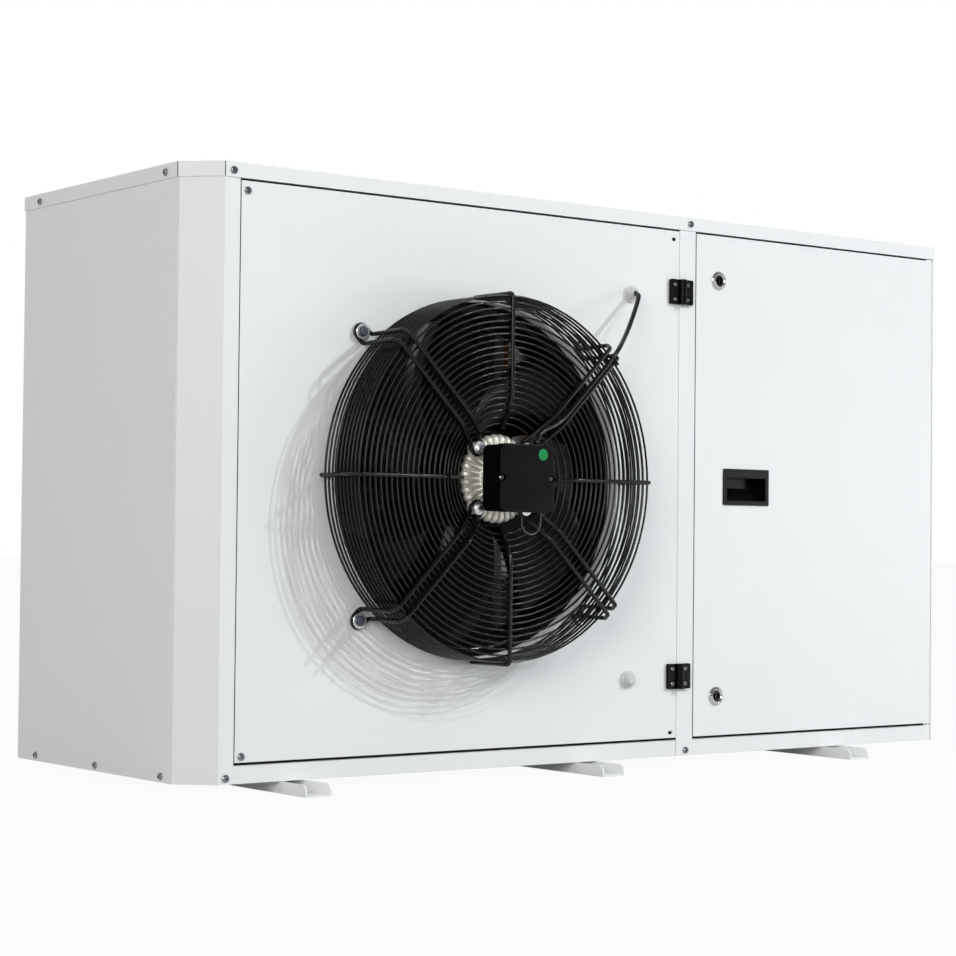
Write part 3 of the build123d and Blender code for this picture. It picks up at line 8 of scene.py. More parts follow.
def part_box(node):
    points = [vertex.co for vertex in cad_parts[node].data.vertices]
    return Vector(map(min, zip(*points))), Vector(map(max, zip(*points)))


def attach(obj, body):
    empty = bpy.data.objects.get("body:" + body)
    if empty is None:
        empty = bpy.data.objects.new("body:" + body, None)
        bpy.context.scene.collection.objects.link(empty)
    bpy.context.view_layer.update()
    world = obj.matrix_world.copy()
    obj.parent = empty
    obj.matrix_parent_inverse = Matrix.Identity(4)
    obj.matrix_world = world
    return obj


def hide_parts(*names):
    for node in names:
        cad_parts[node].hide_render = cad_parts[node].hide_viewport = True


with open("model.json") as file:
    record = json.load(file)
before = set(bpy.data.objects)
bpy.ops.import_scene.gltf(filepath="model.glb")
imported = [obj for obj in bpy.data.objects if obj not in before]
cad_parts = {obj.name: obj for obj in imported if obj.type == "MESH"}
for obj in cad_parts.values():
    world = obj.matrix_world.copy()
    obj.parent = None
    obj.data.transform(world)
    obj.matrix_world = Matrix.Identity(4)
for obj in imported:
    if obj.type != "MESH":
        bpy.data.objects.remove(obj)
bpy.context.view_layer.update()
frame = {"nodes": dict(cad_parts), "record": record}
NODES = frame["nodes"]
SLOT_OF = {row["node"]: row["material_slot"] for row in frame["record"]["subparts"]}
MM = 0.001

# The fan's centre on the cabinet's front, in the model's frame
FAN = Vector((-0.211, -0.237, 0.416))

# The camera, fitted to the cabinet's corners in the photograph
CAMERA_LENS, SENSOR_WIDTH, NEAREST, FARTHEST = 88.67, 36.0, 0.05, 100.0
CAMERA_PLACE = Matrix((
    (0.79359, -0.02399, -0.60804, -2.18705),
    (-0.60839, -0.01467, -0.79347, -2.82653),
    (0.01012, 0.99961, -0.02624, 0.33248),
    (0.0, 0.0, 0.0, 1.0),
))
camera = bpy.data.objects.new("camera", bpy.data.cameras.new("camera"))
bpy.context.scene.collection.objects.link(camera)
camera.data.sensor_width = SENSOR_WIDTH
camera.data.lens = CAMERA_LENS
camera.data.clip_start = NEAREST
camera.data.clip_end = FARTHEST
camera.matrix_world = CAMERA_PLACE
bpy.context.scene.camera = camera
bpy.context.scene.view_settings.view_transform = "Standard"

# Materials
MOTTLE_FROM, MOTTLE_TO, MOTTLE_DETAIL = 0.3, 0.7, 4.0
GRAIN_DEPTH, GRAIN_DETAIL = 0.0002, 2.0
SPANGLE_SCALE, SPANGLE_METAL, SPANGLE_DARK, SPANGLE_BRIGHT = 90.0, 0.85, 0.86, 1.08
SPANGLE_SMOOTHER, SPANGLE_ROUGHER = 0.08, 0.1


def link(tree, a, b):
    tree.links.new(a, b)


def new_material(name):
    """A new material, its node tree and its shader."""
    made = bpy.data.materials.new(name)
    made.use_nodes = True
    return made, made.node_tree, made.node_tree.nodes["Principled BSDF"]


def scaled(colour, factor):
    return (*[min(1.0, c * factor) for c in colour], 1)


def drive_colour(tree, pattern, shader, low_colour, high_colour, start=0.0, end=1.0):
    """Lets a pattern move the base colour between two colours."""
    ramp = tree.nodes.new("ShaderNodeValToRGB")
    low, high = ramp.color_ramp.elements
    low.position, high.position = start, end
    low.color, high.color = low_colour, high_colour
    link(tree, pattern, ramp.inputs["Fac"])
    link(tree, ramp.outputs["Color"], shader.inputs["Base Color"])


def drive_roughness(tree, pattern, shader, low, high):
    """Lets a pattern move the roughness between two values."""
    spread = tree.nodes.new("ShaderNodeMapRange")
    spread.inputs["To Min"].default_value = low
    spread.inputs["To Max"].default_value = high
    link(tree, pattern, spread.inputs["Value"])
    link(tree, spread.outputs["Result"], shader.inputs["Roughness"])


def finish_of(name, colour, rough, metallic=0.0, mottle=0.02, mottle_scale=6.0, rough_spread=0.05,
              grain=0.0, grain_scale=900.0, specular=0.5):
    """A painted, moulded or plated surface: its colour and roughness drift slightly, over a fine grain."""
    made, tree, shader = new_material(name)
    shader.inputs["Metallic"].default_value = metallic
    shader.inputs["Specular IOR Level"].default_value = specular
    place = tree.nodes.new("ShaderNodeTexCoord")
    drift = tree.nodes.new("ShaderNodeTexNoise")
    drift.inputs["Scale"].default_value = mottle_scale
    drift.inputs["Detail"].default_value = MOTTLE_DETAIL
    link(tree, place.outputs["Object"], drift.inputs["Vector"])
    darker, lighter = scaled(colour, 1 - mottle), scaled(colour, 1 + mottle)
    drive_colour(tree, drift.outputs["Fac"], shader, darker, lighter, MOTTLE_FROM, MOTTLE_TO)
    drive_roughness(tree, drift.outputs["Fac"], shader, rough - rough_spread, rough + rough_spread)
    if grain:
        fine = tree.nodes.new("ShaderNodeTexNoise")
        fine.inputs["Scale"].default_value = grain_scale
        fine.inputs["Detail"].default_value = GRAIN_DETAIL
        link(tree, place.outputs["Object"], fine.inputs["Vector"])
        bump = tree.nodes.new("ShaderNodeBump")
        bump.inputs["Strength"].default_value = grain
        bump.inputs["Distance"].default_value = GRAIN_DEPTH
        link(tree, fine.outputs["Fac"], bump.inputs["Height"])
        link(tree, bump.outputs["Normal"], shader.inputs["Normal"])
    return made


def spangled(name, colour, rough):
    """Hot-dipped zinc: grains that each shine a little differently."""
    made, tree, shader = new_material(name)
    shader.inputs["Metallic"].default_value = SPANGLE_METAL
    place = tree.nodes.new("ShaderNodeTexCoord")
    grains = tree.nodes.new("ShaderNodeTexVoronoi")
    grains.inputs["Scale"].default_value = SPANGLE_SCALE
    link(tree, place.outputs["Object"], grains.inputs["Vector"])
    pattern = grains.outputs["Color"]
    drive_colour(tree, pattern, shader, scaled(colour, SPANGLE_DARK), scaled(colour, SPANGLE_BRIGHT))
    drive_roughness(tree, pattern, shader, rough - SPANGLE_SMOOTHER, rough + SPANGLE_ROUGHER)
    return made


# Each slot's colour, its roughness and what sets it apart
LOOKS = {
    "cabinet_paint": (
        (0.85, 0.86, 0.86), 0.42, dict(mottle=0.008, grain=0.10, grain_scale=1400, specular=0.4),
    ),
    # Painted dark reflection: the screws' zinc is darker than bare zinc, standing in for a dark room
    # reflected in it
    "zinc_screws": ((0.20, 0.21, 0.23), 0.18, dict(metallic=1.0, mottle=0.1, mottle_scale=160)),
    "coil_fins": ((0.50, 0.51, 0.52), 0.55, dict(metallic=0.5, mottle=0.04, mottle_scale=14)),
    "copper": ((0.62, 0.30, 0.17), 0.33, dict(metallic=1.0, mottle=0.12, mottle_scale=22)),
    "vessel_enamel": ((0.012, 0.012, 0.013), 0.32, dict(mottle=0.1, grain=0.25, grain_scale=260)),
    "filter_paint": ((0.06, 0.14, 0.36), 0.42, dict(mottle=0.04, grain=0.1)),
    "foot_rubber": ((0.020, 0.020, 0.021), 0.7, dict(mottle=0.1, specular=0.3)),
    "black_plastic": (
        (0.0025, 0.0025, 0.003), 0.3, dict(mottle=0.08, grain=0.1, grain_scale=1100, specular=0.1),
    ),
    "valve_brass": ((0.62, 0.42, 0.18), 0.34, dict(metallic=1.0, mottle=0.06, mottle_scale=40)),
    "grey_plastic": ((0.42, 0.43, 0.44), 0.5, dict(mottle=0.02, grain=0.1)),
    "switch_plastic": ((0.55, 0.03, 0.02), 0.35, dict(mottle=0.03)),
    "gland_plastic": ((0.25, 0.26, 0.27), 0.5, dict(mottle=0.03)),
    "pin_steel": ((0.55, 0.55, 0.56), 0.25, dict(metallic=1.0, mottle=0.04, mottle_scale=60)),
    "wire_enamel": ((0.001, 0.001, 0.0013), 0.2, dict(mottle=0.08, specular=0.3)),
    "cast_flange": (
        (0.72, 0.70, 0.64), 0.45,
        dict(metallic=0.6, mottle=0.08, mottle_scale=60, grain=0.25, grain_scale=700),
    ),
    "lead_sheath": ((0.0015, 0.0015, 0.002), 0.22, dict(mottle=0.1, specular=0.25)),
    "grommet_rubber": ((0.64, 0.65, 0.65), 0.6, dict(mottle=0.02, specular=0.3)),
    "fan_paint": ((0.0015, 0.0015, 0.002), 0.14, dict(mottle=0.1, specular=0.14, rough_spread=0.03)),
    # Painted dark reflection: the locks' chrome is darker than bright chrome
    "lock_chrome": ((0.45, 0.45, 0.46), 0.12, dict(metallic=1.0, mottle=0.03, mottle_scale=60)),
}
FINISH = {name: finish_of(name, colour, rough, **more) for name, (colour, rough, more) in LOOKS.items()}
FINISH["galvanised_sheet"] = spangled("galvanised_sheet", (0.60, 0.61, 0.62), 0.42)
DOT_GREEN = finish_of("dot_green", (0.005, 0.24, 0.07), 0.5, mottle=0.03, specular=0.2)
BRIGHT_ZINC = finish_of("bright_zinc", (0.80, 0.81, 0.82), 0.3, metallic=1.0, mottle=0.04, mottle_scale=120)
# Painted shade and dark reflection: a near-black chrome for the locks' key inserts, standing in for the shade
# in their keyways
PAINTED_SHADE_CHROME = finish_of("painted_shade_chrome", (0.05, 0.05, 0.052), 0.14, metallic=1.0, mottle=0.04, mottle_scale=60)
# Black for painted shade in the doors' edge gaps and in the spare holes, and for the dark joints of the lid's
# skirt
SHADE_AND_JOINT_BLACK = finish_of("shade_and_joint_black", (0.004, 0.004, 0.004), 0.7, mottle=0.1, specular=0.1)
BOLT_HEAD = finish_of("bolt_head", (0.10, 0.11, 0.13), 0.4, metallic=0.8, mottle=0.05, mottle_scale=90)

# The CAD pieces, with their edges rounded by these widths in millimetres
SMALL_EDGE = {
    "door_handle": 0.8, "lock_bodies": 0.4, "lock_insert_upper": 0.3, "lock_insert_lower": 0.3,
    "hinge_post_leaves": 0.6, "hinge_panel_leaves": 0.6, "terminal_box": 0.6, "compressor_cover": 1.5,
    "pressure_switch": 1.0, "control_box": 0.6, "control_cover": 0.5, "main_switch": 1.0, "compressor": 1.0,
    "compressor_feet": 0.8, "motor_flange": 0.5, "rotor": 1.0, "supply_gland": 0.5, "receiver": 0.8,
}
SHEET_EDGE = 0.45
WELD_REACH, FLAT_WITHIN, ROUND_OVER, SPLIT_OVER = 0.00002, 0.6, 35, 40


def soften(node, width):
    """Rounds a CAD node's sharp edges with modifiers, and shades its curved faces smoothly."""
    mesh = node.data
    for layer in ("custom_normal", "sharp_edge", "sharp_face"):
        if layer in mesh.attributes:
            mesh.attributes.remove(mesh.attributes[layer])
    mesh.polygons.foreach_set("use_smooth", [True] * len(mesh.polygons))
    weld = node.modifiers.new("weld", "WELD")
    weld.merge_threshold = WELD_REACH
    flat = node.modifiers.new("flat", "DECIMATE")
    flat.decimate_type = "DISSOLVE"
    flat.angle_limit = math.radians(FLAT_WITHIN)
    edge = node.modifiers.new("edge", "BEVEL")
    edge.width = width * MM
    edge.segments = 2
    edge.limit_method = "ANGLE"
    edge.angle_limit = math.radians(ROUND_OVER)
    edge.harden_normals = True
    edge.use_clamp_overlap = True
    split = node.modifiers.new("split", "EDGE_SPLIT")
    split.split_angle = math.radians(SPLIT_OVER)
    split.use_edge_sharp = False


# The photograph shows the ring round the blades as black as the blades
SLOT_OF["fan_ring"] = "fan_paint"

for name, node in NODES.items():
    node.data.materials.clear()
    node.data.materials.append(FINISH[SLOT_OF[name]])
    soften(node, SMALL_EDGE.get(name, SHEET_EDGE))
# The key inserts get the painted shade and dark reflection of their keyways
for name in ("lock_insert_upper", "lock_insert_lower"):
    NODES[name].data.materials[0] = PAINTED_SHADE_CHROME


# Mesh helpers
def round_steps(count):
    """The angles of equal steps round a circle."""
    return [2 * math.pi * k / count for k in range(count)]


class Shell:
    """Collects faces for one mesh object."""

    def __init__(self):
        self.points, self.faces = [], []

    def loop(self, points):
        first = len(self.points)
        self.points += [tuple(p) for p in points]
        return list(range(first, first + len(points)))

    def skin(self, a, b):
        n = len(a)
        self.faces += [(a[i], a[(i + 1) % n], b[(i + 1) % n], b[i]) for i in range(n)]

    def cap(self, loop, flip=False):
        self.faces.append(tuple(reversed(loop)) if flip else tuple(loop))

    def tube(self, path, radius, sides=12, closed=False):
        """A round tube along a line of points."""
        path = [Vector(p) for p in path]
        count = len(path)
        steps = []
        for i in range(count):
            before = path[i] - path[i - 1] if i or closed else path[1] - path[0]
            after = path[(i + 1) % count] - path[i] if i < count - 1 or closed else path[-1] - path[-2]
            steps.append((before.normalized() + after.normalized()).normalized())
        side = steps[0].orthogonal().normalized()
        loops = []
        for i in range(count):
            side = (side - steps[i] * side.dot(steps[i])).normalized()
            other = steps[i].cross(side)
            loops.append(self.loop([
                path[i] + (side * math.cos(a) + other * math.sin(a)) * radius for a in round_steps(sides)
            ]))
        for a, b in zip(loops, loops[1:]):
            self.skin(a, b)
        if closed:
            start, end = loops[0], loops[-1]
            last = Vector(self.points[end[0]])
            shift = min(range(sides), key=lambda k: (Vector(self.points[start[k]]) - last).length)
            self.skin(end, start[shift:] + start[:shift])
        else:
            self.cap(loops[0], True)
            self.cap(loops[-1])

    def ring(self, centre, radius, wire, turns=96, sides=10):
        """A round wire ring about the fan's axis."""
        loops = []
        for a in round_steps(turns):
            out = Vector((math.cos(a), 0, math.sin(a)))
            loops.append(self.loop([
                centre + out * (radius + wire * math.cos(t)) + Vector((0, wire * math.sin(t), 0))
                for t in round_steps(sides)
            ]))
        for i in range(turns):
            self.skin(loops[i], loops[(i + 1) % turns])

    def box(self, x, y, z):
        """A box between a low and a high value on each axis."""
        corners = ((x[0], y[0]), (x[1], y[0]), (x[1], y[1]), (x[0], y[1]))
        low, high = (self.loop([(*corner, height) for corner in corners]) for height in z)
        self.skin(low, high)
        self.cap(low, True)
        self.cap(high)

    def disc(self, centre, radius, depths, sides):
        """A flat disc that looks forward, with its rim from the first depth to the second."""
        back, front = (self.loop([
            centre + Vector((radius * math.cos(a), depth, radius * math.sin(a))) for a in round_steps(sides)
        ]) for depth in depths)
        self.skin(back, front)
        self.cap(front)

    def object(self, name, body, slot, finish=None, smooth=True):
        mesh = bpy.data.meshes.new(name)
        mesh.from_pydata(self.points, [], self.faces)
        mesh.validate()
        mesh.polygons.foreach_set("use_smooth", [smooth] * len(mesh.polygons))
        mesh.materials.append(finish or FINISH[slot])
        made = bpy.data.objects.new(name, mesh)
        bpy.context.scene.collection.objects.link(made)
        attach(made, body)
        return made


def bent(points, radii, steps=7):
    """A line through the points with its corners rounded; the first and last radius aren't used."""
    points = [Vector(p) for p in points]
    line = [points[0]]
    for i in range(1, len(points) - 1):
        back, on = (points[i - 1] - points[i]).normalized(), (points[i + 1] - points[i]).normalized()
        turn = math.pi - back.angle(on)
        if turn < 0.01 or not radii[i]:
            line.append(points[i])
            continue
        reach = radii[i] * math.tan(turn / 2)
        centre = points[i] + (back + on).normalized() * (radii[i] / math.cos(turn / 2))
        a, b = points[i] + back * reach - centre, points[i] + on * reach - centre
        for k in range(steps + 1):
            t = k / steps
            of_a, of_b = math.sin((1 - t) * turn) / math.sin(turn), math.sin(t * turn) / math.sin(turn)
            line.append(centre + (a * of_a + b * of_b))
    return line + [points[-1]]


def around(angle, radius, y, across=0.0):
    """A point about the fan's axis, in millimetres: out along an angle, along the axis, and sideways."""
    a = math.radians(angle)
    out, side = Vector((math.cos(a), 0, math.sin(a))), Vector((-math.sin(a), 0, math.cos(a)))
    return FAN + (out * radius + side * across + Vector((0, y, 0))) * MM


# The wire guard, in millimetres from the fan's centre
GUARD_RADIUS, GUARD_PITCH, GUARD_WIRE, GUARD_FRONT = 248.5, 8.65, 1.5, -81.5
DISH_RADIUS, DISH_SLOPE = 112.0, 0.45
SPOKE_WIRE, SPOKE_OUT, SPOKE_INNER, SPOKE_SIDES, SPOKE_FOOT = 3.0, 3.8, 68.5, 14, -0.2
SPOKE_BENDS, SPOKE_BEND_STEPS = [0, 0.03, 0.007, 0], 8
FRONT_RINGS, SKIRT_RINGS = 21, 9


def guard_depth(radius):
    return GUARD_FRONT + max(0.0, DISH_RADIUS - radius) * DISH_SLOPE


guard = Shell()
for i in range(FRONT_RINGS):
    radius = GUARD_RADIUS - i * GUARD_PITCH
    guard.ring(FAN + Vector((0, guard_depth(radius) * MM, 0)), radius * MM, GUARD_WIRE * MM)
for angle in (0, 90, 180, 270):
    edge = GUARD_RADIUS + SPOKE_OUT
    line = [
        around(angle, SPOKE_INNER, guard_depth(SPOKE_INNER) - SPOKE_OUT),
        around(angle, DISH_RADIUS, GUARD_FRONT - SPOKE_OUT),
        around(angle, edge, GUARD_FRONT - SPOKE_OUT),
        around(angle, edge, SPOKE_FOOT),
    ]
    guard.tube(bent(line, SPOKE_BENDS, SPOKE_BEND_STEPS), SPOKE_WIRE * MM, SPOKE_SIDES)
guard_front = guard.object("guard_front_wires", "fan_door", "wire_enamel")
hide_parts("guard_front")

skirt = Shell()
for i in range(SKIRT_RINGS):
    depth = (GUARD_FRONT + (i + 1) * GUARD_PITCH) * MM
    skirt.ring(FAN + Vector((0, depth, 0)), GUARD_RADIUS * MM, GUARD_WIRE * MM)
guard_skirt = skirt.object("guard_skirt_wires", "fan_door", "wire_enamel")
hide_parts("guard_skirt")

# The four arms, each one closed loop of wire from a panel bolt to a motor bolt
ARM_ANGLES = (45, 135, 225, 315)
ARM_WIRE, ARM_GAP, ARM_LIFT, ARM_BEND, ARM_BEND_STEPS, ARM_SIDES = 3.0, 9.5, 5.3, 0.005, 5, 12
BOLT_RADIUS, MOTOR_BOLT_RADIUS, ARM_FOOT, ARM_TOE, FOOT_RUN = 272.7, 58.0, -3.05, -63.05, 13.5
TOE_RUN, TOE_RISE, TOE_DISH = 6, 9, 75.5
SHOULDER_OUT, SHOULDER_DOWN, SHOULDER_IN = 11.5, 12, 4
HALF_TURN_STEPS = 14


def arm_side(angle, across):
    front, edge = GUARD_FRONT - ARM_LIFT, GUARD_RADIUS + GUARD_WIRE
    inner = MOTOR_BOLT_RADIUS + TOE_RUN
    route = [
        (BOLT_RADIUS, ARM_FOOT), (BOLT_RADIUS - FOOT_RUN, ARM_FOOT),
        (edge + SHOULDER_OUT, front + SHOULDER_DOWN), (edge + SHOULDER_IN, front),
        (DISH_RADIUS, front), (inner + TOE_RISE, guard_depth(TOE_DISH) - ARM_LIFT),
        (inner, ARM_TOE), (MOTOR_BOLT_RADIUS, ARM_TOE),
    ]
    bends = [0] + [ARM_BEND] * (len(route) - 2) + [0]
    return bent([around(angle, r, y, across) for r, y in route], bends, ARM_BEND_STEPS)


def half_turn(angle, radius, y, outward):
    """The loop of wire round a bolt, from one side of the arm to the other."""
    points = []
    for k in range(1, HALF_TURN_STEPS):
        t = math.pi * k / HALF_TURN_STEPS
        out, across = outward * ARM_GAP * math.sin(t), -ARM_GAP * math.cos(t) * outward
        points.append(around(angle, radius + out, y, across))
    return points


arms = Shell()
for angle in ARM_ANGLES:
    line = list(reversed(arm_side(angle, -ARM_GAP)))
    line += half_turn(angle, BOLT_RADIUS, ARM_FOOT, 1)
    line += arm_side(angle, ARM_GAP)
    line += half_turn(angle, MOTOR_BOLT_RADIUS, ARM_TOE, -1)
    arms.tube(line, ARM_WIRE * MM, ARM_SIDES, closed=True)
guard_arms = arms.object("guard_arm_wires", "fan_door", "wire_enamel")
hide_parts("guard_arms")


# The panel's throat as the photograph shows it, in millimetres from the fan's centre:
# a white collar drawn forward inside the skirt, black behind it
COLLAR_RADIUS, COLLAR_WALL, COLLAR_HEIGHT, COLLAR_SEAT = 244.6, 1.7, 20.0, -0.2
LIP_EDGE, LIP_STEP, LIP_DROP = 0.3, 0.1, 0.4
FUNNEL_FRONT, FUNNEL_RADIUS, FUNNEL_BACK = -0.5, 229.1, 17.0
THROAT_TURNS = 240


def lathe(shell, outline, turns):
    """Turns an outline of (radius, depth) about the fan's axis; the outline is a function of the angle."""
    loops = []
    for i in range(turns):
        angle = 360 * i / turns
        loops.append(shell.loop([around(angle, r, y) for r, y in outline(angle)]))
    for i in range(turns):
        a, b = loops[i], loops[(i + 1) % turns]
        shell.faces += [(a[k], b[k], b[k + 1], a[k + 1]) for k in range(len(a) - 1)]


def collar_outline(angle):
    """The collar's wall, up its outside, over its rounded lip and down its inside."""
    outer, inner = COLLAR_RADIUS + COLLAR_WALL, COLLAR_RADIUS
    return [
        (outer, 0.0), (outer, LIP_DROP - COLLAR_HEIGHT), (outer - LIP_EDGE, LIP_STEP - COLLAR_HEIGHT),
        (outer - COLLAR_WALL / 2, -COLLAR_HEIGHT), (inner + LIP_EDGE, LIP_STEP - COLLAR_HEIGHT),
        (inner, LIP_DROP - COLLAR_HEIGHT), (inner, COLLAR_SEAT),
    ]


def funnel_outline(angle):
    """The black funnel, from the collar's foot round its bend to the solid's throat."""
    return [
        (COLLAR_RADIUS + 0.2, FUNNEL_FRONT), (236.0, FUNNEL_FRONT), (232.6, 0.4), (230.2, 2.6),
        (FUNNEL_RADIUS, 6.0), (FUNNEL_RADIUS, FUNNEL_BACK),
    ]


collar = Shell()
lathe(collar, collar_outline, THROAT_TURNS)
collar.object("throat_collar", "fan_door", "cabinet_paint")
funnel = Shell()
lathe(funnel, funnel_outline, THROAT_TURNS)
funnel.object("throat_funnel", "fan_door", "fan_paint")

# The motor's ribbed flange
FLANGE_BACK, FLANGE_FRONT, BOX_BACK = -46.0, -60.0, -80.0
FLANGE_RIM, FLANGE_HUB, FLANGE_NECK = 61.0, 41.0, 33.0
FLANGE_HOLE, FLANGE_INSET, BACK_TURNS = 10.0, 4.5, 96
RIBS, RIB_STEPS, GAP_DEPTH, RIB_SHARPNESS = 32, 10, 8.0, 1.7


def ribbed(angle):
    """The flange's outline at an angle: high on a rib, low in the gap beside it."""
    wave = 0.5 + 0.5 * math.cos(math.radians(angle * RIBS) + math.pi)
    low = GAP_DEPTH * (1 - min(1.0, wave * RIB_SHARPNESS) ** 0.5)
    return [
        (FLANGE_RIM - 4 - low * 0.3, FLANGE_BACK),
        (FLANGE_RIM - low * 0.45, FLANGE_BACK - 3),
        (FLANGE_RIM - low * 0.55, FLANGE_BACK - 6.5 + low * 0.1),
        (FLANGE_RIM - 1.8 - low * 0.6, FLANGE_BACK - 10 + low * 0.5),
        (FLANGE_RIM - 5 - low * 0.5, FLANGE_FRONT + 1 + low * 0.9),
        (FLANGE_RIM - 9, FLANGE_FRONT + low),
        (FLANGE_HUB + 3, FLANGE_FRONT + low * 0.9),
        (FLANGE_HUB, FLANGE_FRONT + low * 0.3),
        (FLANGE_NECK + 1, FLANGE_FRONT),
        (FLANGE_NECK, FLANGE_FRONT - 2),
        (FLANGE_NECK, BOX_BACK),
    ]


def flange_back(angle):
    return [(FLANGE_HOLE, FLANGE_BACK), (FLANGE_RIM - FLANGE_INSET, FLANGE_BACK)]


flange = Shell()
lathe(flange, ribbed, RIBS * RIB_STEPS)
lathe(flange, flange_back, BACK_TURNS)

# The bolts of the arms, in millimetres; heights are forward of the arm's wire
PANEL_BOLT = dict(
    shank=4.0, washer=10.5, washer_bevel=0.4, washer_top=1.7, collar=7.1, collar_top=3.3, flats=11.0, top=6.5,
)
MOTOR_BOLT = dict(
    shank=2.5, washer=9.0, washer_bevel=0.3, washer_top=1.5, collar=6.4, collar_top=3.0, flats=9.5, top=6.3,
)
TOP_BEVEL, COLLAR_BEVEL, COLLAR_FOOT, MIDDLE = 0.4, 0.2, 0.3, 0.5
HEX_TWIST, HEX_CHAMFER, HEX_CHAMFER_HEIGHT, HEX_SUNK = 0.3, 0.88, 0.8, 0.1
PANEL_SHANK_BACK, MOTOR_SHANK_BACK = -0.3, FLANGE_FRONT + 0.2
STUD_SIDES, BOLT_SPLIT = 40, 30
BOSS_RADIUS, BOSS_BEVEL, BOSS_BACK = 8.0, 0.6, FLANGE_BACK - 4


def stack(shell, loops):
    """Joins loops from back to front, and closes the front."""
    for a, b in zip(loops, loops[1:]):
        shell.skin(b, a)
    shell.cap(loops[-1], True)


def stud(shell, radius, angle, profile):
    """A turned piece that looks forward from a point about the fan's axis."""
    stack(shell, [
        shell.loop([
            around(angle, radius + r * math.cos(t), y, r * math.sin(t)) for t in round_steps(STUD_SIDES)
        ]) for r, y in profile
    ])


def hexagon(shell, radius, angle, across_flats, back, front):
    """A hexagon head with a turned chamfer, looking forward."""
    corner = across_flats / math.sqrt(3)
    stack(shell, [
        shell.loop([
            around(
                angle, radius + corner * scale * math.cos(t + HEX_TWIST), y,
                corner * scale * math.sin(t + HEX_TWIST),
            ) for t in round_steps(6)
        ]) for scale, y in ((1.0, back), (1.0, front + HEX_CHAMFER_HEIGHT), (HEX_CHAMFER, front))
    ])


def bolt(washer_shell, head_shell, radius, angle, seat, back, size):
    """A bolt on the arm's wire: a washer with its shank, and a hexagon head with a collar."""
    bevel, washer, collar = size["washer_bevel"], size["washer"], size["collar"]
    washer_front, collar_front = seat - size["washer_top"], seat - size["collar_top"]
    stud(washer_shell, radius, angle, [
        (size["shank"], back), (size["shank"], seat), (washer - bevel, seat), (washer, seat - bevel),
        (washer, washer_front + TOP_BEVEL), (washer - bevel, washer_front), (MIDDLE, washer_front),
    ])
    stud(head_shell, radius, angle, [
        (collar - COLLAR_BEVEL, washer_front), (collar, washer_front - COLLAR_FOOT),
        (collar, collar_front + TOP_BEVEL), (collar - TOP_BEVEL, collar_front), (MIDDLE, collar_front),
    ])
    hexagon(head_shell, radius, angle, size["flats"], collar_front + HEX_SUNK, seat - size["top"])


washers, heads = Shell(), Shell()
inner_washers, inner_heads = Shell(), Shell()
for angle in ARM_ANGLES:
    stud(flange, MOTOR_BOLT_RADIUS, angle, [
        (BOSS_RADIUS, BOSS_BACK), (BOSS_RADIUS, FLANGE_FRONT + BOSS_BEVEL),
        (BOSS_RADIUS - BOSS_BEVEL, FLANGE_FRONT), (MIDDLE, FLANGE_FRONT),
    ])
    bolt(washers, heads, BOLT_RADIUS, angle, ARM_FOOT - ARM_WIRE, PANEL_SHANK_BACK, PANEL_BOLT)
    bolt(
        inner_washers, inner_heads, MOTOR_BOLT_RADIUS, angle,
        ARM_TOE - ARM_WIRE, MOTOR_SHANK_BACK, MOTOR_BOLT,
    )
motor_flange = flange.object("motor_flange_casting", "fan_door", "cast_flange")
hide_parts("motor_flange")
for shell, name, slot, finish in (
    (washers, "guard_bolt_washers", "zinc_screws", BRIGHT_ZINC),
    (heads, "guard_bolt_heads", "zinc_screws", BOLT_HEAD),
    (inner_washers, "motor_bolt_washers", "zinc_screws", BRIGHT_ZINC),
    (inner_heads, "motor_bolt_heads", "zinc_screws", BRIGHT_ZINC),
):
    made = shell.object(name, "fan_door", slot, finish)
    split = made.modifiers.new("split", "EDGE_SPLIT")
    split.split_angle = math.radians(BOLT_SPLIT)
    if name == "guard_bolt_washers":
        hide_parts("guard_bolts")
    if name == "motor_bolt_washers":
        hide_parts("motor_bolts")

# The fan's lead: its route's points in millimetres from the fan's centre
LEAD_POINTS = [
    (33.0, -98.0, 40.0), (33.5, -98.0, 53.0), (41.0, -96.8, 63.5), (55.0, -94.5, 69.5), (73.0, -91.8, 75.5),
    (88.1, -89.9, 85.0), (111.7, -89.4, 108.1), (145.4, -89.2, 142.5), (171.8, -89.6, 168.6),
    (188.6, -85.6, 184.8), (207.0, -73.5, 198.0), (233.0, -56.0, 219.0), (258.0, -40.0, 246.0),
    (276.0, -27.5, 265.5), (286.0, -18.5, 277.5), (286.0, 2.0, 278.0),
]
LEAD_RADIUS = 0.0033
curve = bpy.data.curves.new("fan_lead_sheath", "CURVE")
curve.dimensions = "3D"
curve.bevel_depth = LEAD_RADIUS
curve.bevel_resolution = 5
curve.use_fill_caps = True
spline = curve.splines.new("NURBS")
spline.points.add(len(LEAD_POINTS) - 1)
for point, place in zip(spline.points, LEAD_POINTS):
    point.co = (*(FAN + Vector(place) * MM), 1.0)
spline.order_u = 3
spline.use_endpoint_u = True
spline.resolution_u = 12
curve.materials.append(FINISH["lead_sheath"])
lead = bpy.data.objects.new("fan_lead_sheath", curve)
bpy.context.scene.collection.objects.link(lead)
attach(lead, "fan_door")
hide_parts("fan_lead")

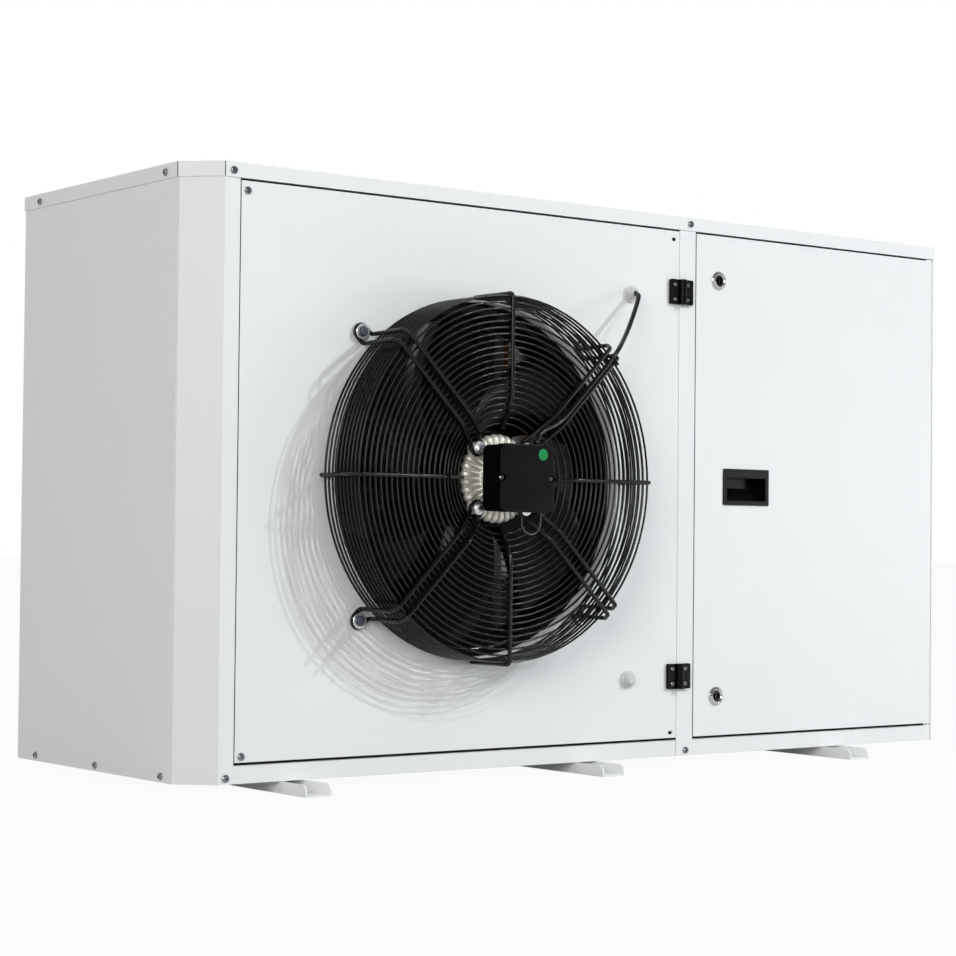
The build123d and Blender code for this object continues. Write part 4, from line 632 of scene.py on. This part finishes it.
# The coil's fins and tubes
coil_lo, coil_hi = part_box("condenser_coil")
FIN_PITCH, FIN_SHEET, CORE_INSET = 0.0028, 0.00022, 0.014
TUBE_INSET, TUBE_FIRST, TUBE_PITCH, TUBE_RADIUS, TUBE_MARGIN = 0.016, 0.0146, 0.0254, 0.0048, 0.008
fins = Shell()
for i in range(int((coil_hi.x - coil_lo.x) / FIN_PITCH)):
    x = coil_lo.x + (i + 0.5) * FIN_PITCH
    fins.box((x, x + FIN_SHEET), (coil_lo.y, coil_hi.y), (coil_lo.z, coil_hi.z))
coil = fins.object("coil_fin_pack", "cabinet", "coil_fins", smooth=False)
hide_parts("condenser_coil")
tubes = Shell()
for row, y in enumerate((coil_lo.y + TUBE_INSET, coil_hi.y - TUBE_INSET)):
    z = coil_lo.z + TUBE_FIRST + row * TUBE_PITCH / 2
    while z < coil_hi.z - TUBE_MARGIN:
        tubes.tube([(coil_lo.x, y, z), (coil_hi.x, y, z)], TUBE_RADIUS)
        z += TUBE_PITCH
tubes.box((coil_lo.x, coil_hi.x), (coil_lo.y + CORE_INSET, coil_hi.y - CORE_INSET), (coil_lo.z, coil_hi.z))
tubes.object("coil_core", "cabinet", "coil_fins", smooth=False)

# Painted shade: thin black strips along the edges of the two doors, standing in for the shade in the gaps
# round them
GAP_SHADE_PROUD, GAP_SHADE_HEIGHT, GAP_SHADE_DROP, GAP_SHADE_DEPTH, GAP_SHADE_SIDE = 0.00015, 0.0016, 0.0022, 0.001, 0.0009
PIVOT_GAP = 0.003
for node_name, body in (("fan_panel", "fan_door"), ("service_door", "service_door")):
    lo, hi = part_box(node_name)
    if node_name == "service_door":
        hi.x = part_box("door_pivots")[0].x - PIVOT_GAP
    depth = (FAN.y - GAP_SHADE_PROUD, FAN.y + GAP_SHADE_DEPTH)
    gap_shade = Shell()
    gap_shade.box((lo.x, hi.x), depth, (hi.z - GAP_SHADE_HEIGHT, hi.z))
    gap_shade.box((lo.x, hi.x), depth, (lo.z - GAP_SHADE_DROP, lo.z + 0.5 * GAP_SHADE_HEIGHT))
    gap_shade.box((lo.x - GAP_SHADE_SIDE, lo.x), depth, (lo.z, hi.z))
    gap_shade.object(f"{node_name}_seal", body, None, SHADE_AND_JOINT_BLACK, smooth=False)

# A tie round the lead and the arm's wire, in millimetres
TIE_ANGLE, TIE_RADIUS, TIE_DEPTH, TIE_MIDDLE, TIE_HEAD = 45, 246.0, -88.0, -6.0, -12.6
TIE_HALF_DEEP, TIE_HALF_WIDE, TIE_STRAP, TIE_STEPS, TIE_SIDES = 5.2, 7.6, 0.9, 32, 8
HEAD_HALF, HEAD_RADIUS, HEAD_SIDES = 3.2, 2.4, 16
tie = Shell()
tie.tube([
    around(
        TIE_ANGLE, TIE_RADIUS, TIE_DEPTH + TIE_HALF_DEEP * math.sin(t),
        TIE_MIDDLE + TIE_HALF_WIDE * math.cos(t),
    ) for t in round_steps(TIE_STEPS)
], TIE_STRAP * MM, TIE_SIDES, closed=True)
tie.tube([
    around(TIE_ANGLE, TIE_RADIUS, TIE_DEPTH + end, TIE_HEAD) for end in (-HEAD_HALF, HEAD_HALF)
], HEAD_RADIUS * MM, HEAD_SIDES)
tie.object("lead_tie", "fan_door", None, FINISH["lead_sheath"])

# The thin loop below the terminal box
LOOP_LEFT, LOOP_RIGHT, LOOP_DEPTH, LOOP_DROP, LOOP_BEND = 8.5, 41.0, -98.0, -75.5, 0.016
LOOP_WIRE, LOOP_INTO_BOX, LOOP_STEPS, LOOP_SIDES = 0.9, 2.0, 10, 8
loop_top = (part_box("terminal_box")[0].z - FAN.z) / MM + LOOP_INTO_BOX
loop_route = ((LOOP_LEFT, loop_top), (LOOP_LEFT, LOOP_DROP), (LOOP_RIGHT, LOOP_DROP), (LOOP_RIGHT, loop_top))
loop = Shell()
loop.tube(bent(
    [FAN + Vector((x, LOOP_DEPTH, z)) * MM for x, z in loop_route], [0, LOOP_BEND, LOOP_BEND, 0], LOOP_STEPS,
), LOOP_WIRE * MM, LOOP_SIDES)
loop.object("terminal_loop", "fan_door", None, BOLT_HEAD)

# The seams in the lid's skirt, on the front and on the left side
SEAM, SEAM_PROUD, SEAM_DEPTH = 0.0009, 0.00015, 0.001
LID_CUT, LID_SKIRT, LID_TOP_GAP = 0.0447, 0.0195, 0.0005
lid_lo, lid_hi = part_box("lid")
seam_height = (lid_hi.z - LID_SKIRT, lid_hi.z - LID_TOP_GAP)


def seam_across(low):
    return low + LID_CUT - SEAM / 2, low + LID_CUT + SEAM / 2


def seam_through(low):
    return low - SEAM_PROUD, low + SEAM_DEPTH


seams = Shell()
seams.box(seam_across(lid_lo.x), seam_through(lid_lo.y), seam_height)
seams.box(seam_through(lid_lo.x), seam_across(lid_lo.y), seam_height)
seams.object("lid_seams", "cabinet", None, SHADE_AND_JOINT_BLACK, smooth=False)

# Painted shade: black discs over the fan panel's spare holes, standing in for the shade inside them
SPARE_X, SPARE_HEIGHTS = 0.1577, (0.051, 0.781)
SPARE_RADIUS, SPARE_DEPTHS, SPARE_SIDES = 0.0027, (0.0005, -0.0002), 32
spare_hole_shade = Shell()
for z in SPARE_HEIGHTS:
    spare_hole_shade.disc(Vector((SPARE_X, FAN.y, z)), SPARE_RADIUS, SPARE_DEPTHS, SPARE_SIDES)
spare_hole_shade.object("spare_hole_painted_shade", "fan_door", None, SHADE_AND_JOINT_BLACK, smooth=False)

# The plain green dot on the terminal cover, in millimetres
DOT_PLACE, DOT_RADIUS, DOT_THICK, DOT_SIDES = Vector((26.1, -121.0, 32.1)), 7.85, 0.25, 48
dot = Shell()
dot.disc(FAN + DOT_PLACE * MM, DOT_RADIUS * MM, (0.0, -DOT_THICK * MM), DOT_SIDES)
dot.object("terminal_dot", "fan_door", None, DOT_GREEN, smooth=False)

# The floor and the background
AMBIENT, AMBIENT_COLOUR, WHITE = 0.34, (1.0, 0.995, 0.985, 1), (1, 1, 1, 1)
DIM_TO, BRIGHT_FROM = -0.25, 0.2
FLOOR_GREY, FLOOR_GLOW, FLOOR_HALF, FLOOR_LEVEL = (0.42, 0.42, 0.42, 1), 0.95, 30, -0.0005


def combined(tree, operation, a, b):
    """Works out one value from a socket and another socket or number."""
    made = tree.nodes.new("ShaderNodeMath")
    made.operation = operation
    link(tree, a, made.inputs[0])
    if isinstance(b, float):
        made.inputs[1].default_value = b
    else:
        link(tree, b, made.inputs[1])
    return made.outputs["Value"]


def mixed_to_output(tree, share, first, second, output_kind):
    """Mixes two shaders by a share and sends them to the output."""
    both = tree.nodes.new("ShaderNodeMixShader")
    link(tree, share, both.inputs["Fac"])
    link(tree, first, both.inputs[1])
    link(tree, second, both.inputs[2])
    out = tree.nodes.new(output_kind)
    link(tree, both.outputs["Shader"], out.inputs["Surface"])


def make_world():
    """White behind the object, and a dimmer room that lights it and shows in reflections of the front."""
    world = bpy.data.worlds.new("studio")
    bpy.context.scene.world = world
    world.use_nodes = True
    tree = world.node_tree
    tree.nodes.clear()
    rays = tree.nodes.new("ShaderNodeLightPath")
    place = tree.nodes.new("ShaderNodeTexCoord")
    parts = tree.nodes.new("ShaderNodeSeparateXYZ")
    link(tree, place.outputs["Generated"], parts.inputs["Vector"])
    behind = tree.nodes.new("ShaderNodeMapRange")
    behind.interpolation_type = "SMOOTHSTEP"
    behind.inputs["From Min"].default_value = DIM_TO
    behind.inputs["From Max"].default_value = BRIGHT_FROM
    link(tree, parts.outputs["Y"], behind.inputs["Value"])
    mirrored = combined(tree, "MULTIPLY", rays.outputs["Is Glossy Ray"], behind.outputs["Result"])
    seen = combined(tree, "MAXIMUM", rays.outputs["Is Camera Ray"], mirrored)
    shows_white = combined(tree, "MAXIMUM", seen, rays.outputs["Is Transmission Ray"])
    soft, white = tree.nodes.new("ShaderNodeBackground"), tree.nodes.new("ShaderNodeBackground")
    soft.inputs["Strength"].default_value = AMBIENT
    soft.inputs["Color"].default_value = AMBIENT_COLOUR
    white.inputs["Strength"].default_value = 1.0
    white.inputs["Color"].default_value = WHITE
    mixed_to_output(
        tree, shows_white, soft.outputs["Background"], white.outputs["Background"], "ShaderNodeOutputWorld",
    )


def floor_material():
    """A floor that looks white to the camera and still takes the object's shadow."""
    made = bpy.data.materials.new("studio_floor")
    made.use_nodes = True
    tree = made.node_tree
    tree.nodes.clear()
    lit = tree.nodes.new("ShaderNodeBsdfDiffuse")
    lit.inputs["Color"].default_value = FLOOR_GREY
    glow = tree.nodes.new("ShaderNodeEmission")
    glow.inputs["Color"].default_value = WHITE
    glow.inputs["Strength"].default_value = 1.0
    rays = tree.nodes.new("ShaderNodeLightPath")
    seen = combined(tree, "MAXIMUM", rays.outputs["Is Camera Ray"], rays.outputs["Is Glossy Ray"])
    share = combined(tree, "MULTIPLY", seen, FLOOR_GLOW)
    mixed_to_output(tree, share, lit.outputs["BSDF"], glow.outputs["Emission"], "ShaderNodeOutputMaterial")
    return made


make_world()
mesh = bpy.data.meshes.new("studio_floor")
corners = [(x * FLOOR_HALF, y * FLOOR_HALF, FLOOR_LEVEL) for x, y in ((-1, -1), (1, -1), (1, 1), (-1, 1))]
mesh.from_pydata(corners, [], [(0, 1, 2, 3)])
mesh.materials.append(floor_material())
floor = bpy.data.objects.new("studio_floor", mesh)
bpy.context.scene.collection.objects.link(floor)

# The lamps: watts, metres, and directions from the middle of the cabinet
LAMPS_LOOK_AT = Vector((0.0, -0.2, 0.42))
KEY_WATTS, KEY_AWAY, KEY_SIZE, KEY_COLOUR = 385.0, 9.0, 0.12, (0.90, 0.96, 1.0)
KEYS = ((0.92, 0.83, 0.45), (0.74, 0.62, 0.30), (0.62, 0.95, 0.25))


def lamp(name, towards, distance, size, watts, colour=(1, 1, 1)):
    """A square soft lamp that looks at the middle of the cabinet from a direction."""
    data = bpy.data.lights.new(name, "AREA")
    data.size = size
    data.energy = watts
    data.color = colour
    made = bpy.data.objects.new(name, data)
    bpy.context.scene.collection.objects.link(made)
    away = Vector(towards).normalized()
    made.location = LAMPS_LOOK_AT + away * distance
    made.rotation_mode = "QUATERNION"
    made.rotation_quaternion = away.to_track_quat("Z", "Y")


for i, (across, up, share) in enumerate(KEYS):
    lamp(f"key_{i}", (across, -1.0, up), KEY_AWAY, KEY_SIZE, KEY_WATTS * share, KEY_COLOUR)
lamp("fill", (-1.25, -1.0, 0.45), 7.0, 2.6, 196.0, (1.0, 0.99, 0.96))
lamp("wash", (1.4, -1.0, -0.05), 4.0, 1.0, 24.0, (0.94, 0.975, 1.0))
lamp("back", (0.75, 1.0, 0.55), 5.0, 2.0, 85.0)
